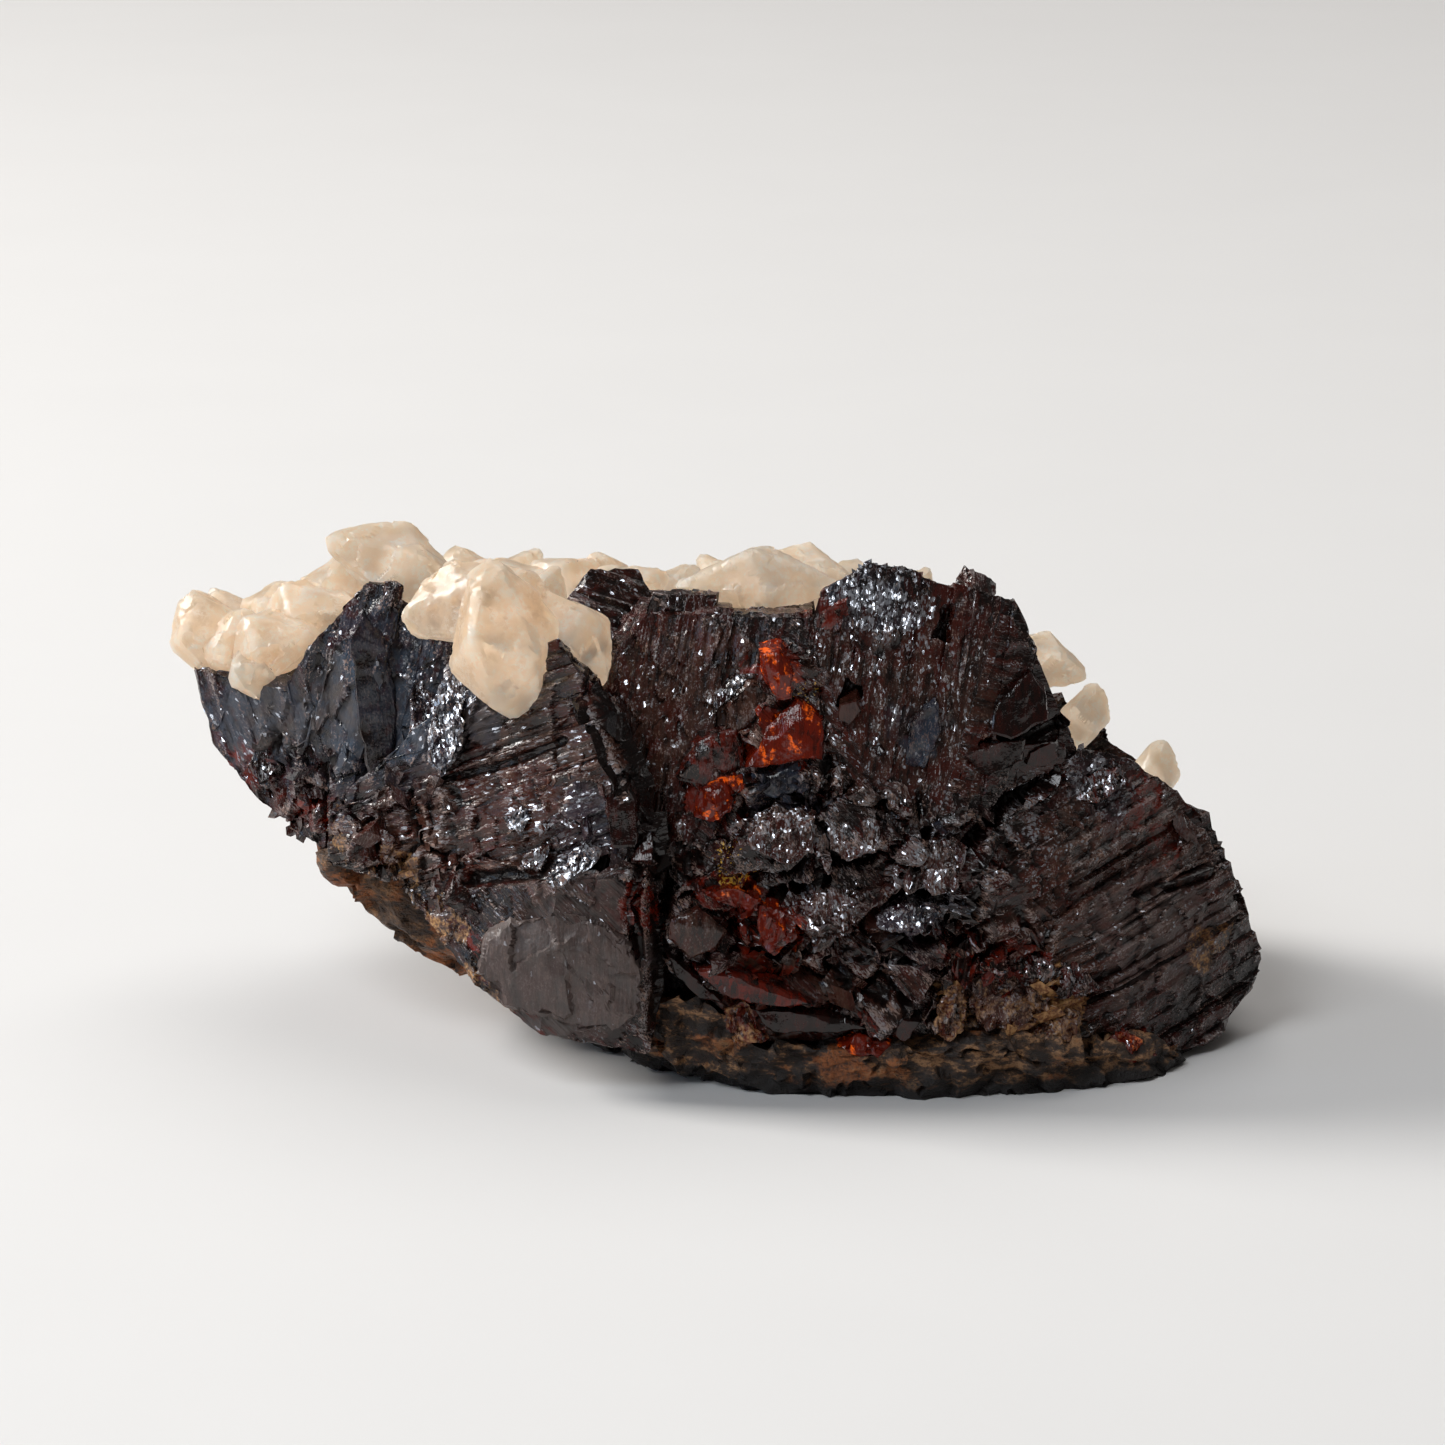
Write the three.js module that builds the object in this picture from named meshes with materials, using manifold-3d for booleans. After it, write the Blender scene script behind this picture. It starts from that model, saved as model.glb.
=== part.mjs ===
// A sphalerite specimen: a palm-sized piece of dark, striated sphalerite crystals grown into one
// mass, on a remnant of brown-stained host rock, with honey-coloured calcite crystals scattered
// over its top. Millimetres, +Z up, +X to the specimen's right, +Y away from its show face. It
// stands on the flat broken face under the host rock. The origin is the middle of the whole
// specimen's footprint, at the height of that face.

import * as THREE from "three";
import { ConvexGeometry } from "three/addons/geometries/ConvexGeometry.js";
import { mergeVertices } from "three/addons/utils/BufferGeometryUtils.js";
import Module from "manifold-3d";

const wasm = await Module();
wasm.setup();

// Driving dimensions, mm unless a name says otherwise.
const CONTACT_GAP = 0.3; // clear space kept between two minerals that touch
const PLATE_OVERLAP = 0.04; // how far neighbouring growth plates run into each other
const SAME_FACE = 0.985; // least cosine between two planes for them to be one crystal face
const CALCITE_GIRTH = 0.6; // belt radius of a calcite crystal over its half length
const CALCITE_ZIGZAG = 1 / 9; // height of its zigzag belt over its half length
const CALCITE_BLUNTING_DEG = 44.6; // from its long axis to the normal of a cleavage face
const BLOCK_SLANT = 0.28; // how far a broken block's faces may lean out of square, as a slope
const BLOCK_CHIPPED = 0.1; // share of a broken block's edges that are chipped off
const BLOCK_CHIP_REACH = 0.78; // how far out a chip cuts, as a share of the way to the edge
const BLOCK_SEED = 7;

// A repeatable stream of numbers from 0 to 1.
function makeRandom(seed) {
  let state = seed >>> 0;
  return () => {
    state = (state + 0x6d2b79f5) >>> 0;
    let t = state;
    t = Math.imul(t ^ (t >>> 15), t | 1);
    t ^= t + Math.imul(t ^ (t >>> 7), t | 61);
    return ((t ^ (t >>> 14)) >>> 0) / 4294967296;
  };
}

const vector = ([x, y, z]) => new THREE.Vector3(x, y, z);

// Convex solids, each kept as the planes {normal, distance} of its faces.

function hullPlanes(corners, sameFace = 0.9999) {
  const position = new ConvexGeometry(corners.map(vector)).getAttribute("position");
  const planes = [];
  const [a, b, c] = [new THREE.Vector3(), new THREE.Vector3(), new THREE.Vector3()];
  for (let i = 0; i < position.count; i += 3) {
    a.fromBufferAttribute(position, i);
    b.fromBufferAttribute(position, i + 1);
    c.fromBufferAttribute(position, i + 2);
    const normal = b.clone().sub(a).cross(c.clone().sub(a)).normalize();
    const distance = normal.dot(a);
    const known = planes.some((p) => p.normal.dot(normal) > sameFace);
    if (!known) planes.push({ normal, distance });
  }
  return planes;
}

const grown = (planes, by) =>
  planes.map(({ normal, distance }) => ({ normal, distance: distance + by }));

// Every point where three planes meet that lies behind all the others.
function cornersBehind(planes) {
  const found = new Map();
  const n = planes.map((p) => p.normal);
  for (let i = 0; i < n.length; i++)
    for (let j = i + 1; j < n.length; j++) {
      const edge = n[i].clone().cross(n[j]);
      for (let k = j + 1; k < n.length; k++) {
        const determinant = edge.dot(n[k]);
        if (Math.abs(determinant) < 1e-6) continue;
        const corner = n[j].clone().cross(n[k]).multiplyScalar(planes[i].distance)
          .add(n[k].clone().cross(n[i]).multiplyScalar(planes[j].distance))
          .add(edge.clone().multiplyScalar(planes[k].distance))
          .divideScalar(determinant);
        if (planes.some((p) => p.normal.dot(corner) > p.distance + 1e-5)) continue;
        found.set(corner.toArray().map((v) => v.toFixed(3)).join(), corner);
      }
    }
  return [...found.values()];
}

function solidOf(geometry) {
  geometry.deleteAttribute("normal");
  geometry.deleteAttribute("uv");
  const merged = mergeVertices(geometry, 1e-4);
  return new wasm.Manifold(
    new wasm.Mesh({
      numProp: 3,
      vertProperties: new Float32Array(merged.getAttribute("position").array),
      triVerts: new Uint32Array(merged.index.array),
    }),
  );
}

function convexSolid(planes) {
  const corners = cornersBehind(planes);
  return corners.length < 4 ? null : solidOf(new ConvexGeometry(corners));
}

const joined = (solids) => solids.reduce((all, one) => all.add(one));

// The largest body of a solid, without the crumbs that a cut may leave loose.
function withoutCrumbs(solid) {
  const bodies = solid.decompose();
  return bodies.reduce((best, one) => (one.volume() > best.volume() ? one : best));
}

function geometryOf(solid) {
  const { numProp, numVert, vertProperties, triVerts } = solid.getMesh();
  const position = new Float32Array(numVert * 3);
  for (let i = 0; i < numVert; i++)
    position.set(vertProperties.subarray(i * numProp, i * numProp + 3), i * 3);
  const geometry = new THREE.BufferGeometry()
    .setAttribute("position", new THREE.BufferAttribute(position, 3))
    .setIndex(new THREE.BufferAttribute(triVerts, 1))
    .toNonIndexed();
  geometry.computeVertexNormals();
  return geometry;
}

// Sphalerite.

// One crystal as a stack of growth plates. The plates lie square to `across`, about `pitch` thick.
// Each is the crystal's own cross-section with its side faces moved in or out by up to `relief`,
// so that the plates' rims stand as the ledges of a striated face. No pitch: one plain block.
function sphaleriteCrystal({ corners, across, pitch, relief, seed }) {
  const planes = hullPlanes(corners, SAME_FACE);
  if (!pitch) return convexSolid(planes);
  const random = makeRandom(seed);
  const axis = vector(across).normalize();
  const reach = corners.map((c) => vector(c).dot(axis));
  const high = Math.max(...reach);
  const plates = [];
  for (let from = Math.min(...reach); from < high; ) {
    const to = from + pitch * (0.5 + random());
    const step = relief * (2 * random() - 1);
    const sides = planes.map(({ normal, distance }) => ({
      normal,
      distance: distance + step * (1 - Math.abs(normal.dot(axis))),
    }));
    const plate = convexSolid([
      ...sides,
      { normal: axis, distance: to + PLATE_OVERLAP },
      { normal: axis.clone().negate(), distance: -from + PLATE_OVERLAP },
    ]);
    if (plate) plates.push(plate);
    from = to;
  }
  return joined(plates);
}

// The crystals of the show face from left to right, the one between them, then those of the back.
// Corners are [x, y, z].
const CRYSTALS = {
  farLeft: {
    corners: [
      [-29.4, 9, 19.3], [-28.3, 8, 15.2], [-26, 6, 12.8], [-21.9, 3, 10.5], [-21.6, 3.5, 18.8],
      [-29.8, 14, 18], [-26, 20, 12], [-19, 21, 18], [-18, 6, 20],
    ],
    across: [0.9, 0.1, 0.35], pitch: 2.8, relief: 0.45, seed: 11,
  },
  leftCrown: {
    corners: [
      [-24.3, 4, 19.4], [-21.4, 3, 23.7], [-19.6, 3, 25.3], [-17.3, 2, 25.3], [-13.7, 0, 23.2],
      [-11, -1, 19], [-15.9, -0.5, 12], [-21.6, 2.5, 12], [-19, 10, 23.6], [-12, 11, 22.5],
      [-12, 12, 12],
    ],
    across: [0.95, 0.1, -0.25], pitch: 2.6, relief: 0.45, seed: 12,
  },
  leftBand: {
    corners: [
      [-21.6, 2, 10.2], [-21.2, 1, 13.9], [-14.7, -2, 20.4], [-8.7, -4, 24.2], [-6.4, -6, 22],
      [-4.4, -8, 17], [-3.6, -8.5, 12.9], [-10.9, -6, 10.6], [-17.5, -2, 10.3], [-18, 12, 12],
      [-6, 8, 21], [-4, 8, 10],
    ],
    across: [-0.42, 0.05, 0.9], pitch: 2, relief: 0.45, seed: 13,
  },
  leftFoot: {
    corners: [
      [-18.4, -1, 11], [-16.4, -3, 9.2], [-13.3, -6, 5.6], [-9.8, -8, 3.4], [-4.4, -8, 2.4],
      [-3.1, -8.5, 5.5], [-3.6, -8.5, 12.9], [-8.7, -8, 12.6], [-16, 9, 8], [-6, 9, 1.5],
      [-3, 6, 12],
    ],
  },
  middleLeft: {
    corners: [
      [-6.5, -2, 20.9], [-5.6, -1.5, 23.3], [-3.9, -1.5, 25.3], [0.7, -3, 25.5],
      [4.8, -4, 25.8], [5.7, -7.5, 16.3], [-1.2, -7, 10.6], [-3.1, -6, 12], [-4.4, -4, 15.9],
      [-6, 11, 22], [5, 13, 23], [0, 10, 10],
    ],
    across: [0.98, 0, -0.17], pitch: 2.6, relief: 0.35, seed: 15,
  },
  middlePeak: {
    corners: [
      [4.6, -5, 24.5], [5.3, -4, 27], [7.8, -3.5, 28.3], [9.7, -3, 28.1], [15.5, -3, 26.1],
      [16.8, -3, 23.4], [19.2, -2, 17.7], [17.1, -4, 13], [12.7, -7, 12.4], [6.3, -8, 13.7],
      [16, 11, 21], [6, 13, 23], [12, 12, 10],
    ],
    across: [0.98, 0.05, -0.17], pitch: 2.3, relief: 0.35, seed: 16,
  },
  middleFoot: {
    corners: [
      [-3.1, -7, 10.6], [-1.2, -7.2, 5], [2, -6.5, 1.5], [11, -7, 1.8], [14, -7.6, 8.1],
      [6.2, -8, 16.5], [13, -6, 14], [-2, 12, 10], [12, 14, 12], [6, 12, 1.5],
    ],
  },
  rightFan: {
    corners: [
      [15.8, -4.5, 15], [19.2, -2, 17.6], [22.3, 0, 16.5], [24.6, 1, 14.4], [26.5, 1.5, 12.1],
      [29.3, 2.5, 6.1], [30.04, 3, 3.9], [28.9, 4, 1.6], [27.2, 0, 0.8], [23.4, -3.6, 0.5],
      [12.4, -7.2, 2.2], [12, -8, 8.7], [12.7, -7.5, 13], [25, 13, 9], [15, 15, 12],
    ],
    across: [-0.36, 0.08, 0.93], pitch: 1.6, relief: 0.5, seed: 18,
  },
  rightSliver: {
    corners: [
      [25.4, 6, 12.4], [27, 6.5, 11.6], [28.5, 7, 8.2], [29.5, 7, 5.6], [28, 7.5, 2.5],
      [24, 16, 11], [26.5, 15, 4], [22, 8, 13],
    ],
  },
  topBack: {
    corners: [
      [-8.9, 7, 23.2], [-7.6, 7, 25.1], [-4.6, 8, 25.1], [-3.7, 7, 23.7], [-6.7, 4, 20.6],
      [-9, 11, 20], [-3, 12, 20],
    ],
  },
  between: {
    corners: [
      [-17, 2, 13], [-9, -3, 6], [2, -4, 3], [14, -4, 3], [23, 2, 4], [22, 3, 13], [15, 1, 20],
      [2, 1, 22.5], [-7, 1, 23], [-13, 2, 21.5], [-15, 14, 19], [12, 16, 17], [20, 15, 6],
      [-4, 18, 4], [-13, 12, 7],
    ],
  },
  leftInner: {
    corners: [
      [-26, 9, 13], [-25, 8, 18.6], [-23, 17, 19.4], [-15, 6, 23], [-11, 18, 21],
      [-16, 20.5, 18.5], [-12, 12, 8], [-21, 12, 9.5], [-19, 6, 9],
    ],
  },
  backLeft: {
    corners: [
      [-25, 14, 11], [-22, 17, 19], [-15, 19, 21], [-8, 20, 20], [-7, 25, 13], [-10, 24, 6],
      [-19, 22, 8], [-12, 8, 20], [-10, 8, 6],
    ],
    across: [0.8, -0.2, 0.55], pitch: 4, relief: 0.6, seed: 21,
  },
  backMiddle: {
    corners: [
      [-9, 14, 20.5], [-6, 20, 21], [4, 19, 21.5], [10, 21, 17], [11, 24, 9], [5, 26, 4],
      [-5, 26, 6], [0, 27, 13], [8, 10, 20], [6, 10, 4],
    ],
    across: [0.2, 0.3, 0.93], pitch: 3.6, relief: 0.6, seed: 22,
  },
  backRight: {
    corners: [
      [8, 14, 19], [16, 15, 18], [24, 14, 12.5], [25, 18, 7], [21, 22, 3], [12, 25, 3],
      [9, 25, 11], [15, 23, 14], [12, 8, 3],
    ],
    across: [-0.3, 0.6, 0.74], pitch: 3.6, relief: 0.6, seed: 23,
  },
};

// The edges of a block, as the normals of the faces that may chip them.
const EDGE_NORMALS = [];
for (const a of [-1, 1])
  for (const b of [-1, 1]) EDGE_NORMALS.push([a, b, 0], [a, 0, b], [0, a, b]);

// A cleavage block of sphalerite: a box of size [width, depth, height] turned by the angles of
// `turn` in degrees, its faces a little out of square and some of its edges chipped.
function cleavageBlock({ at, size, turn }, random) {
  const rotation = new THREE.Quaternion().setFromEuler(
    new THREE.Euler(...turn.map(THREE.MathUtils.degToRad)),
  );
  const planes = [];
  const addPlane = (normal, distance) => {
    const turned = normal.normalize().applyQuaternion(rotation);
    planes.push({ normal: turned, distance: distance + turned.dot(vector(at)) });
  };
  const slant = () => BLOCK_SLANT * (2 * random() - 1);
  for (let axis = 0; axis < 3; axis++)
    for (const side of [-1, 1]) {
      const normal = new THREE.Vector3(slant(), slant(), slant());
      normal.setComponent(axis, side);
      addPlane(normal, size[axis] / 2);
    }
  for (const edge of EDGE_NORMALS) {
    if (random() > BLOCK_CHIPPED) continue;
    const normal = vector(edge).normalize();
    const reach = edge.reduce((sum, e, axis) => sum + (e * e * size[axis]) / 2, 0) / Math.SQRT2;
    addPlane(normal, reach * BLOCK_CHIP_REACH);
  }
  return convexSolid(planes);
}

// The blocks and splinters of the broken show face that the eye picks out, from its middle down.
const BLOCKS = [
  { at: [2.6, -2.9, 22.2], size: [2, 2.6, 3], turn: [20, 30, -12] },
  { at: [3.6, -4.3, 19.4], size: [4.2, 3, 3.4], turn: [-14, 24, 10] },
  { at: [3.2, -5.4, 16.9], size: [3.8, 2.8, 2], turn: [26, -18, 4] },
  { at: [-0.4, -5, 15.9], size: [2.4, 2.4, 3], turn: [12, 34, -38] },
  { at: [0, -5.6, 12.2], size: [2.6, 2.6, 3.8], turn: [-12, 30, -20] },
  { at: [3.2, -6.6, 13.4], size: [4.6, 3.4, 3.2], turn: [24, 12, -10] },
  { at: [0.4, -6.2, 10.6], size: [3.6, 2.6, 1.4], turn: [30, 4, 12] },
  { at: [3.4, -6.8, 9.3], size: [2.4, 2.4, 3], turn: [-10, 40, 14] },
  { at: [6, -7.1, 9.8], size: [4.2, 3, 2.4], turn: [22, -10, 18] },
  { at: [10, -7.1, 9.9], size: [4, 2.6, 1.5], turn: [34, 8, -14] },
  { at: [10.8, -6.7, 12.5], size: [4.2, 2.6, 2.6], turn: [-16, 20, 12] },
  { at: [8.4, -6.8, 6.6], size: [4.6, 3.2, 3.8], turn: [14, 36, -8] },
  { at: [-1.5, -5.8, 8.6], size: [3.2, 2.4, 2.4], turn: [-20, -24, 8] },
  { at: [-1.2, -6, 5.8], size: [0.9, 2.4, 4.6], turn: [0, -38, 10] },
  { at: [2.1, -6.5, 5.8], size: [7, 2.4, 1.5], turn: [24, 16, 6] },
  { at: [4.7, -6.5, 3.9], size: [7.4, 2.2, 1.3], turn: [-14, 7, 4] },
  { at: [1, -6, 3.7], size: [2.2, 2.4, 2.6], turn: [10, 24, 20] },
  { at: [12.8, -6.4, 6], size: [2.6, 2.6, 4], turn: [8, 26, 16] },
  { at: [14.9, -6, 5], size: [2.8, 2.6, 3.4], turn: [-12, -16, 22] },
  { at: [17.4, -4.9, 4.6], size: [4, 2.6, 3], turn: [16, 14, 24] },
  { at: [-4.1, -7.3, 14.3], size: [1, 1.4, 2.4], turn: [0, 6, 34] },
  { at: [13.7, -0.9, 26.1], size: [1.5, 1.8, 1.1], turn: [10, 28, 24] },
  { at: [-2.1, -0.7, 25.3], size: [3.4, 2.6, 1.4], turn: [8, 6, 4] },
  { at: [16.6, -2.6, 17.4], size: [3.6, 2.4, 2], turn: [12, -12, 16] },
];

// Where the show face is broken small: zones of x and z with the count, size and seed of the
// blocks in them, each sunk by `sunk` of its size in the face that it finds there.
const BROKEN_ZONES = [
  { x: [1, 6], z: [14, 24], count: 4, size: [1.6, 2.8], sunk: 0.22, seed: 31 },
  { x: [4, 15], z: [5, 17], count: 5, size: [1.8, 3.2], sunk: 0.25, seed: 33 },
  { x: [-2, 12], z: [2.5, 6], count: 1, size: [2, 3.2], sunk: 0.25, seed: 34 },
  { x: [-19, -12], z: [9.5, 14], count: 2, size: [1.8, 3.2], sunk: 0.3, seed: 35 },
  { x: [-25, -20], z: [12, 16], count: 3, size: [1.4, 2.4], sunk: 0.4, seed: 36 },
];
const LATTICE_TURN = [22, 26, -8]; // degrees; how the lattice lies in the broken parts
const LATTICE_WANDER = 16; // degrees

function smallBlocks(face) {
  const blocks = [];
  for (const { x, z, count, size, sunk, seed } of BROKEN_ZONES) {
    const random = makeRandom(seed);
    const between = ([low, high]) => low + (high - low) * random();
    for (let i = 0; i < count; i++) {
      const from = new THREE.Vector3(between(x), -60, between(z));
      const [hit] = new THREE.Raycaster(from, new THREE.Vector3(0, 1, 0)).intersectObject(face);
      const dimensions = [between(size), between(size), between(size) * 0.8];
      const turn = LATTICE_TURN.map((angle) => angle + LATTICE_WANDER * (2 * random() - 1));
      if (!hit) continue;
      const at = [hit.point.x, hit.point.y + sunk * dimensions[1], hit.point.z];
      blocks.push(cleavageBlock({ at, size: dimensions, turn }, random));
    }
  }
  return blocks;
}

// Pits and slots that blocks have fallen out of.
const PITS = [
  { at: [11.9, -3.6, 25.1], size: [0.8, 2.6, 2], turn: [0, 8, 0] },
  { at: [6.8, -5, 21.5], size: [1.2, 2.2, 1.4], turn: [0, 30, 0] },
  { at: [25, 1.6, 10.3], size: [5, 2, 0.9], turn: [0, -24, 28] },
  { at: [2.5, -7.4, 8], size: [1.8, 2.6, 1.2], turn: [0, 20, 0] },
];

// Host rock: a slab under the specimen, a wedge that runs up under the left-hand crystals and the
// lumps that show along its front.
const HOST_ROCK = {
  slab: [
    [-5, -2, 0], [-5.5, 8, 0], [0, 15, 0], [13, 17, 0], [22, 13, 0], [25.8, 4, 0], [24.2, -4.2, 0],
    [20, -6.8, 0], [12, -8.4, 0], [3, -8, 0], [-3.6, -6.2, 2.2], [3, -8, 2.2],
    [10, -8.8, 2.4], [16, -8.2, 2.2], [21.6, -5.6, 1.3], [26.4, 2, 0.9], [25.5, 13, 3],
    [14, 20, 4], [0, 19, 4], [-7, 10, 3],
  ],
  wedge: [
    [-22.4, 3, 10.4], [-20.8, 3, 8.4], [-18.9, 3, 6.9], [-17.6, 3.4, 5.1], [-16.6, 3.8, 4.4],
    [-14.2, 4.4, 3.3], [-6, -1, 0.2], [-5, 8, 0.2], [-20, 14, 9.5], [-14, 19, 6], [-5, 14, 1.2],
    [-12, 4, 9], [-4, 0, 5], [-3, 12, 6],
  ],
  leftLump: [
    [-4, -5.4, 2.6], [-3.4, -6.6, 4.6], [-1, -7.4, 5], [1, -7.6, 3.4], [0.6, -7.2, 1.4],
    [-2.4, -6.4, 0.8], [-2, -1, 4], [2, -1, 2],
  ],
  middleLump: [
    [7, -8.2, 1], [9, -8.8, 2.4], [14, -8.8, 3.1], [19.4, -7.4, 2.6], [18.6, -6.8, 0.8],
    [9, -3, 3.4], [16, -3, 3.8], [10, -4, 0.2],
  ],
  rightLump: [
    [19, -6.6, 1], [20.6, -6.4, 2.1], [23.4, -4.6, 1.5], [24.6, -3.2, 0.6], [21, 0, 2.2],
    [19, -1, 0.4],
  ],
};

// Calcite.

// One scalenohedron: twelve faces that meet in two points `length` apart, and cleavage faces that
// blunt them, by the share of the half length that `blunt` gives for the front and back points.
function calcitePlanes({ at, along, length, girth = CALCITE_GIRTH, roll = 0, blunt = [0, 0] }) {
  const half = length / 2;
  const turn = new THREE.Quaternion()
    .setFromUnitVectors(new THREE.Vector3(0, 0, 1), vector(along).normalize())
    .multiply(new THREE.Quaternion().setFromAxisAngle(new THREE.Vector3(0, 0, 1), roll));
  const corners = [[0, 0, half], [0, 0, -half]];
  for (let i = 0; i < 6; i++) {
    const angle = (i * Math.PI) / 3;
    const rise = (i % 2 ? -1 : 1) * half * CALCITE_ZIGZAG;
    corners.push([half * girth * Math.cos(angle), half * girth * Math.sin(angle), rise]);
  }
  const planes = hullPlanes(corners);
  const polar = THREE.MathUtils.degToRad(CALCITE_BLUNTING_DEG);
  for (let i = 0; i < 6; i++) {
    const up = i % 2 ? -1 : 1;
    const share = blunt[i % 2];
    if (!share) continue;
    const angle = (i * Math.PI) / 3;
    const normal = new THREE.Vector3(
      Math.sin(polar) * Math.cos(angle), Math.sin(polar) * Math.sin(angle), up * Math.cos(polar),
    );
    planes.push({ normal, distance: half * (1 - share) * Math.cos(polar) });
  }
  return planes.map(({ normal, distance }) => {
    const turned = normal.clone().applyQuaternion(turn);
    return { normal: turned, distance: distance + turned.dot(vector(at)) };
  });
}

// The calcite crystals that show, by the cluster that they are grown together in.
const CALCITE = {
  left_spray: [
    { at: [-29, 10.4, 21.1], along: [-0.25, 0.1, 0.96], length: 6.2, blunt: [0.3, 0.1] },
    { at: [-27.2, 9.4, 20.4], along: [0.3, -0.3, 0.9], length: 6, blunt: [0.2, 0] },
    { at: [-25.2, 8.2, 20.7], along: [0.85, -0.35, 0.3], length: 7, blunt: [0.1, 0.1] },
    { at: [-26, 7.1, 19.5], along: [0.25, -0.5, -0.75], length: 4.2, blunt: [0.4, 0] },
    { at: [-23.2, 10.2, 22], along: [0.85, -0.4, 0.3], length: 7, blunt: [0.1, 0] },
    { at: [-25.2, 12.2, 21.6], along: [0.55, 0.2, 0.8], length: 5.6, blunt: [0.3, 0] },
    { at: [-21.8, 11.4, 23], along: [0.5, 0.1, 0.86], length: 6, blunt: [0.2, 0] },
    { at: [-27.4, 13.6, 20.2], along: [-0.5, 0.5, 0.7], length: 6 },
  ],
  large_crystal: [
    { at: [-17.8, 6, 25.8], along: [0.9, 0.1, -0.42], length: 9.4, girth: 0.5, blunt: [0.1, 0.12] },
  ],
  front_cluster: [
    { at: [-11.7, -3.6, 23.8], along: [-0.16, 0.19, 0.96], length: 13, girth: 0.44, blunt: [0.3, 0.42] },
    { at: [-13.4, -0.9, 25.5], along: [-0.95, 0.1, -0.26], length: 11, girth: 0.42, blunt: [0.3, 0.3] },
    { at: [-8.3, -1.6, 23.6], along: [0.62, -0.2, -0.75], length: 7.6, blunt: [0.24, 0.1] },
    { at: [-10.2, 0.6, 24.4], along: [0.4, 0.5, 0.75], length: 6 },
  ],
  back_row: [
    { at: [-16.4, 12.6, 22.9], along: [0.8, 0.3, 0.5], length: 6.6 },
    { at: [-14.4, 15.4, 22.3], along: [-0.3, 0.3, 0.9], length: 6.2, blunt: [0.24, 0] },
    { at: [-12.6, 13.8, 22.4], along: [0.9, -0.2, 0.3], length: 7 },
    { at: [-12.3, 16.8, 21.7], along: [0.5, 0.4, 0.6], length: 6.4 },
    { at: [-9.2, 14.8, 22.3], along: [0.8, 0.5, 0.35], length: 6.8 },
    { at: [-6.6, 16.4, 21.9], along: [-0.3, 0.2, 0.9], length: 6.2, blunt: [0.3, 0] },
    { at: [-5.6, 14.2, 22], along: [0.85, 0.1, 0.4], length: 6.8, blunt: [0.2, 0] },
    { at: [-3, 15.2, 21.5], along: [0.6, 0.2, 0.7], length: 6.2, blunt: [0.2, 0] },
    { at: [-1, 13.2, 21.4], along: [0.8, -0.1, 0.5], length: 5.8, blunt: [0.2, 0] },
  ],
  lens_crystal: [
    { at: [1.9, 2, 25.8], along: [1, 0.05, 0], length: 8.5, girth: 0.5, roll: 0.5 },
  ],
  behind_lens: [
    { at: [4.7, 6.8, 25], along: [0.9, 0.2, -0.3], length: 7, girth: 0.5, blunt: [0.2, 0.2] },
    { at: [2.9, 8.2, 23.8], along: [-0.6, 0.5, 0.6], length: 6, blunt: [0.2, 0] },
    { at: [6.8, 8.8, 23.4], along: [0.3, 0.5, 0.8], length: 5.8, blunt: [0.24, 0] },
  ],
  right_upper: [
    { at: [17.9, 8.6, 19.9], along: [0.85, 0.1, -0.4], length: 5.4, girth: 0.5, blunt: [0.1, 0] },
  ],
  right_middle: [
    { at: [20.3, 9.8, 16.3], along: [0.35, 0.2, 0.9], length: 4.4, girth: 0.52, blunt: [0.2, 0] },
  ],
  right_lower: [
    { at: [24.4, 11.8, 12.4], along: [0.25, 0.1, 0.96], length: 4.8, girth: 0.5, blunt: [0.26, 0] },
  ],
};

// The sprays on the top and back that the show side hides: where each one stands, as [x, y], with
// the count and longest length of its crystals.
const HIDDEN_SPRAYS = {
  rear_left: { over: [-18, 18.6], count: 3, length: 6.2, seed: 51 },
  rear_middle: { over: [0.5, 20], count: 3, length: 4.9, seed: 52 },
  rear_right: { over: [14.5, 17.5], count: 3, length: 6, seed: 53 },
  top_middle: { over: [10.4, 10.5], count: 2, length: 3.2, seed: 54 },
};
const SPRAY_SPREAD = 0.75; // how far a spray's crystals lean, as a share of their rise

function sprayCrystals({ over: [x, y], count, length, seed }, ground) {
  const random = makeRandom(seed);
  const from = new THREE.Vector3(x, y, 60);
  const [{ point }] = new THREE.Raycaster(from, new THREE.Vector3(0, 0, -1)).intersectObject(ground);
  return Array.from({ length: count }, (_, i) => {
    const around = (2 * Math.PI * (i + random() * 0.5)) / count;
    const along = new THREE.Vector3(
      SPRAY_SPREAD * Math.cos(around), SPRAY_SPREAD * Math.sin(around) + 0.2, 1,
    ).normalize();
    const long = length * (0.75 + 0.25 * random());
    const at = point.clone().addScaledVector(along, long * 0.2).toArray();
    return { at, along: along.toArray(), length: long, roll: random() };
  });
}

// The part.

const cluster = (crystals, by) =>
  joined(crystals.map((crystal) => convexSolid(grown(calcitePlanes(crystal), by))));
const hostRock = (by) =>
  joined(Object.values(HOST_ROCK).map((corners) => convexSolid(grown(hullPlanes(corners), by))));

const random = makeRandom(BLOCK_SEED);
const crystalMass = joined(Object.values(CRYSTALS).map(sphaleriteCrystal));
const ground = new THREE.Mesh(geometryOf(crystalMass));
const blocks = BLOCKS.map((block) => cleavageBlock(block, random));
const pits = PITS.map((pit) => cleavageBlock(pit, random));
const clusters = { ...CALCITE };
for (const [name, spray] of Object.entries(HIDDEN_SPRAYS))
  clusters[name] = sprayCrystals(spray, ground);

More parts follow.
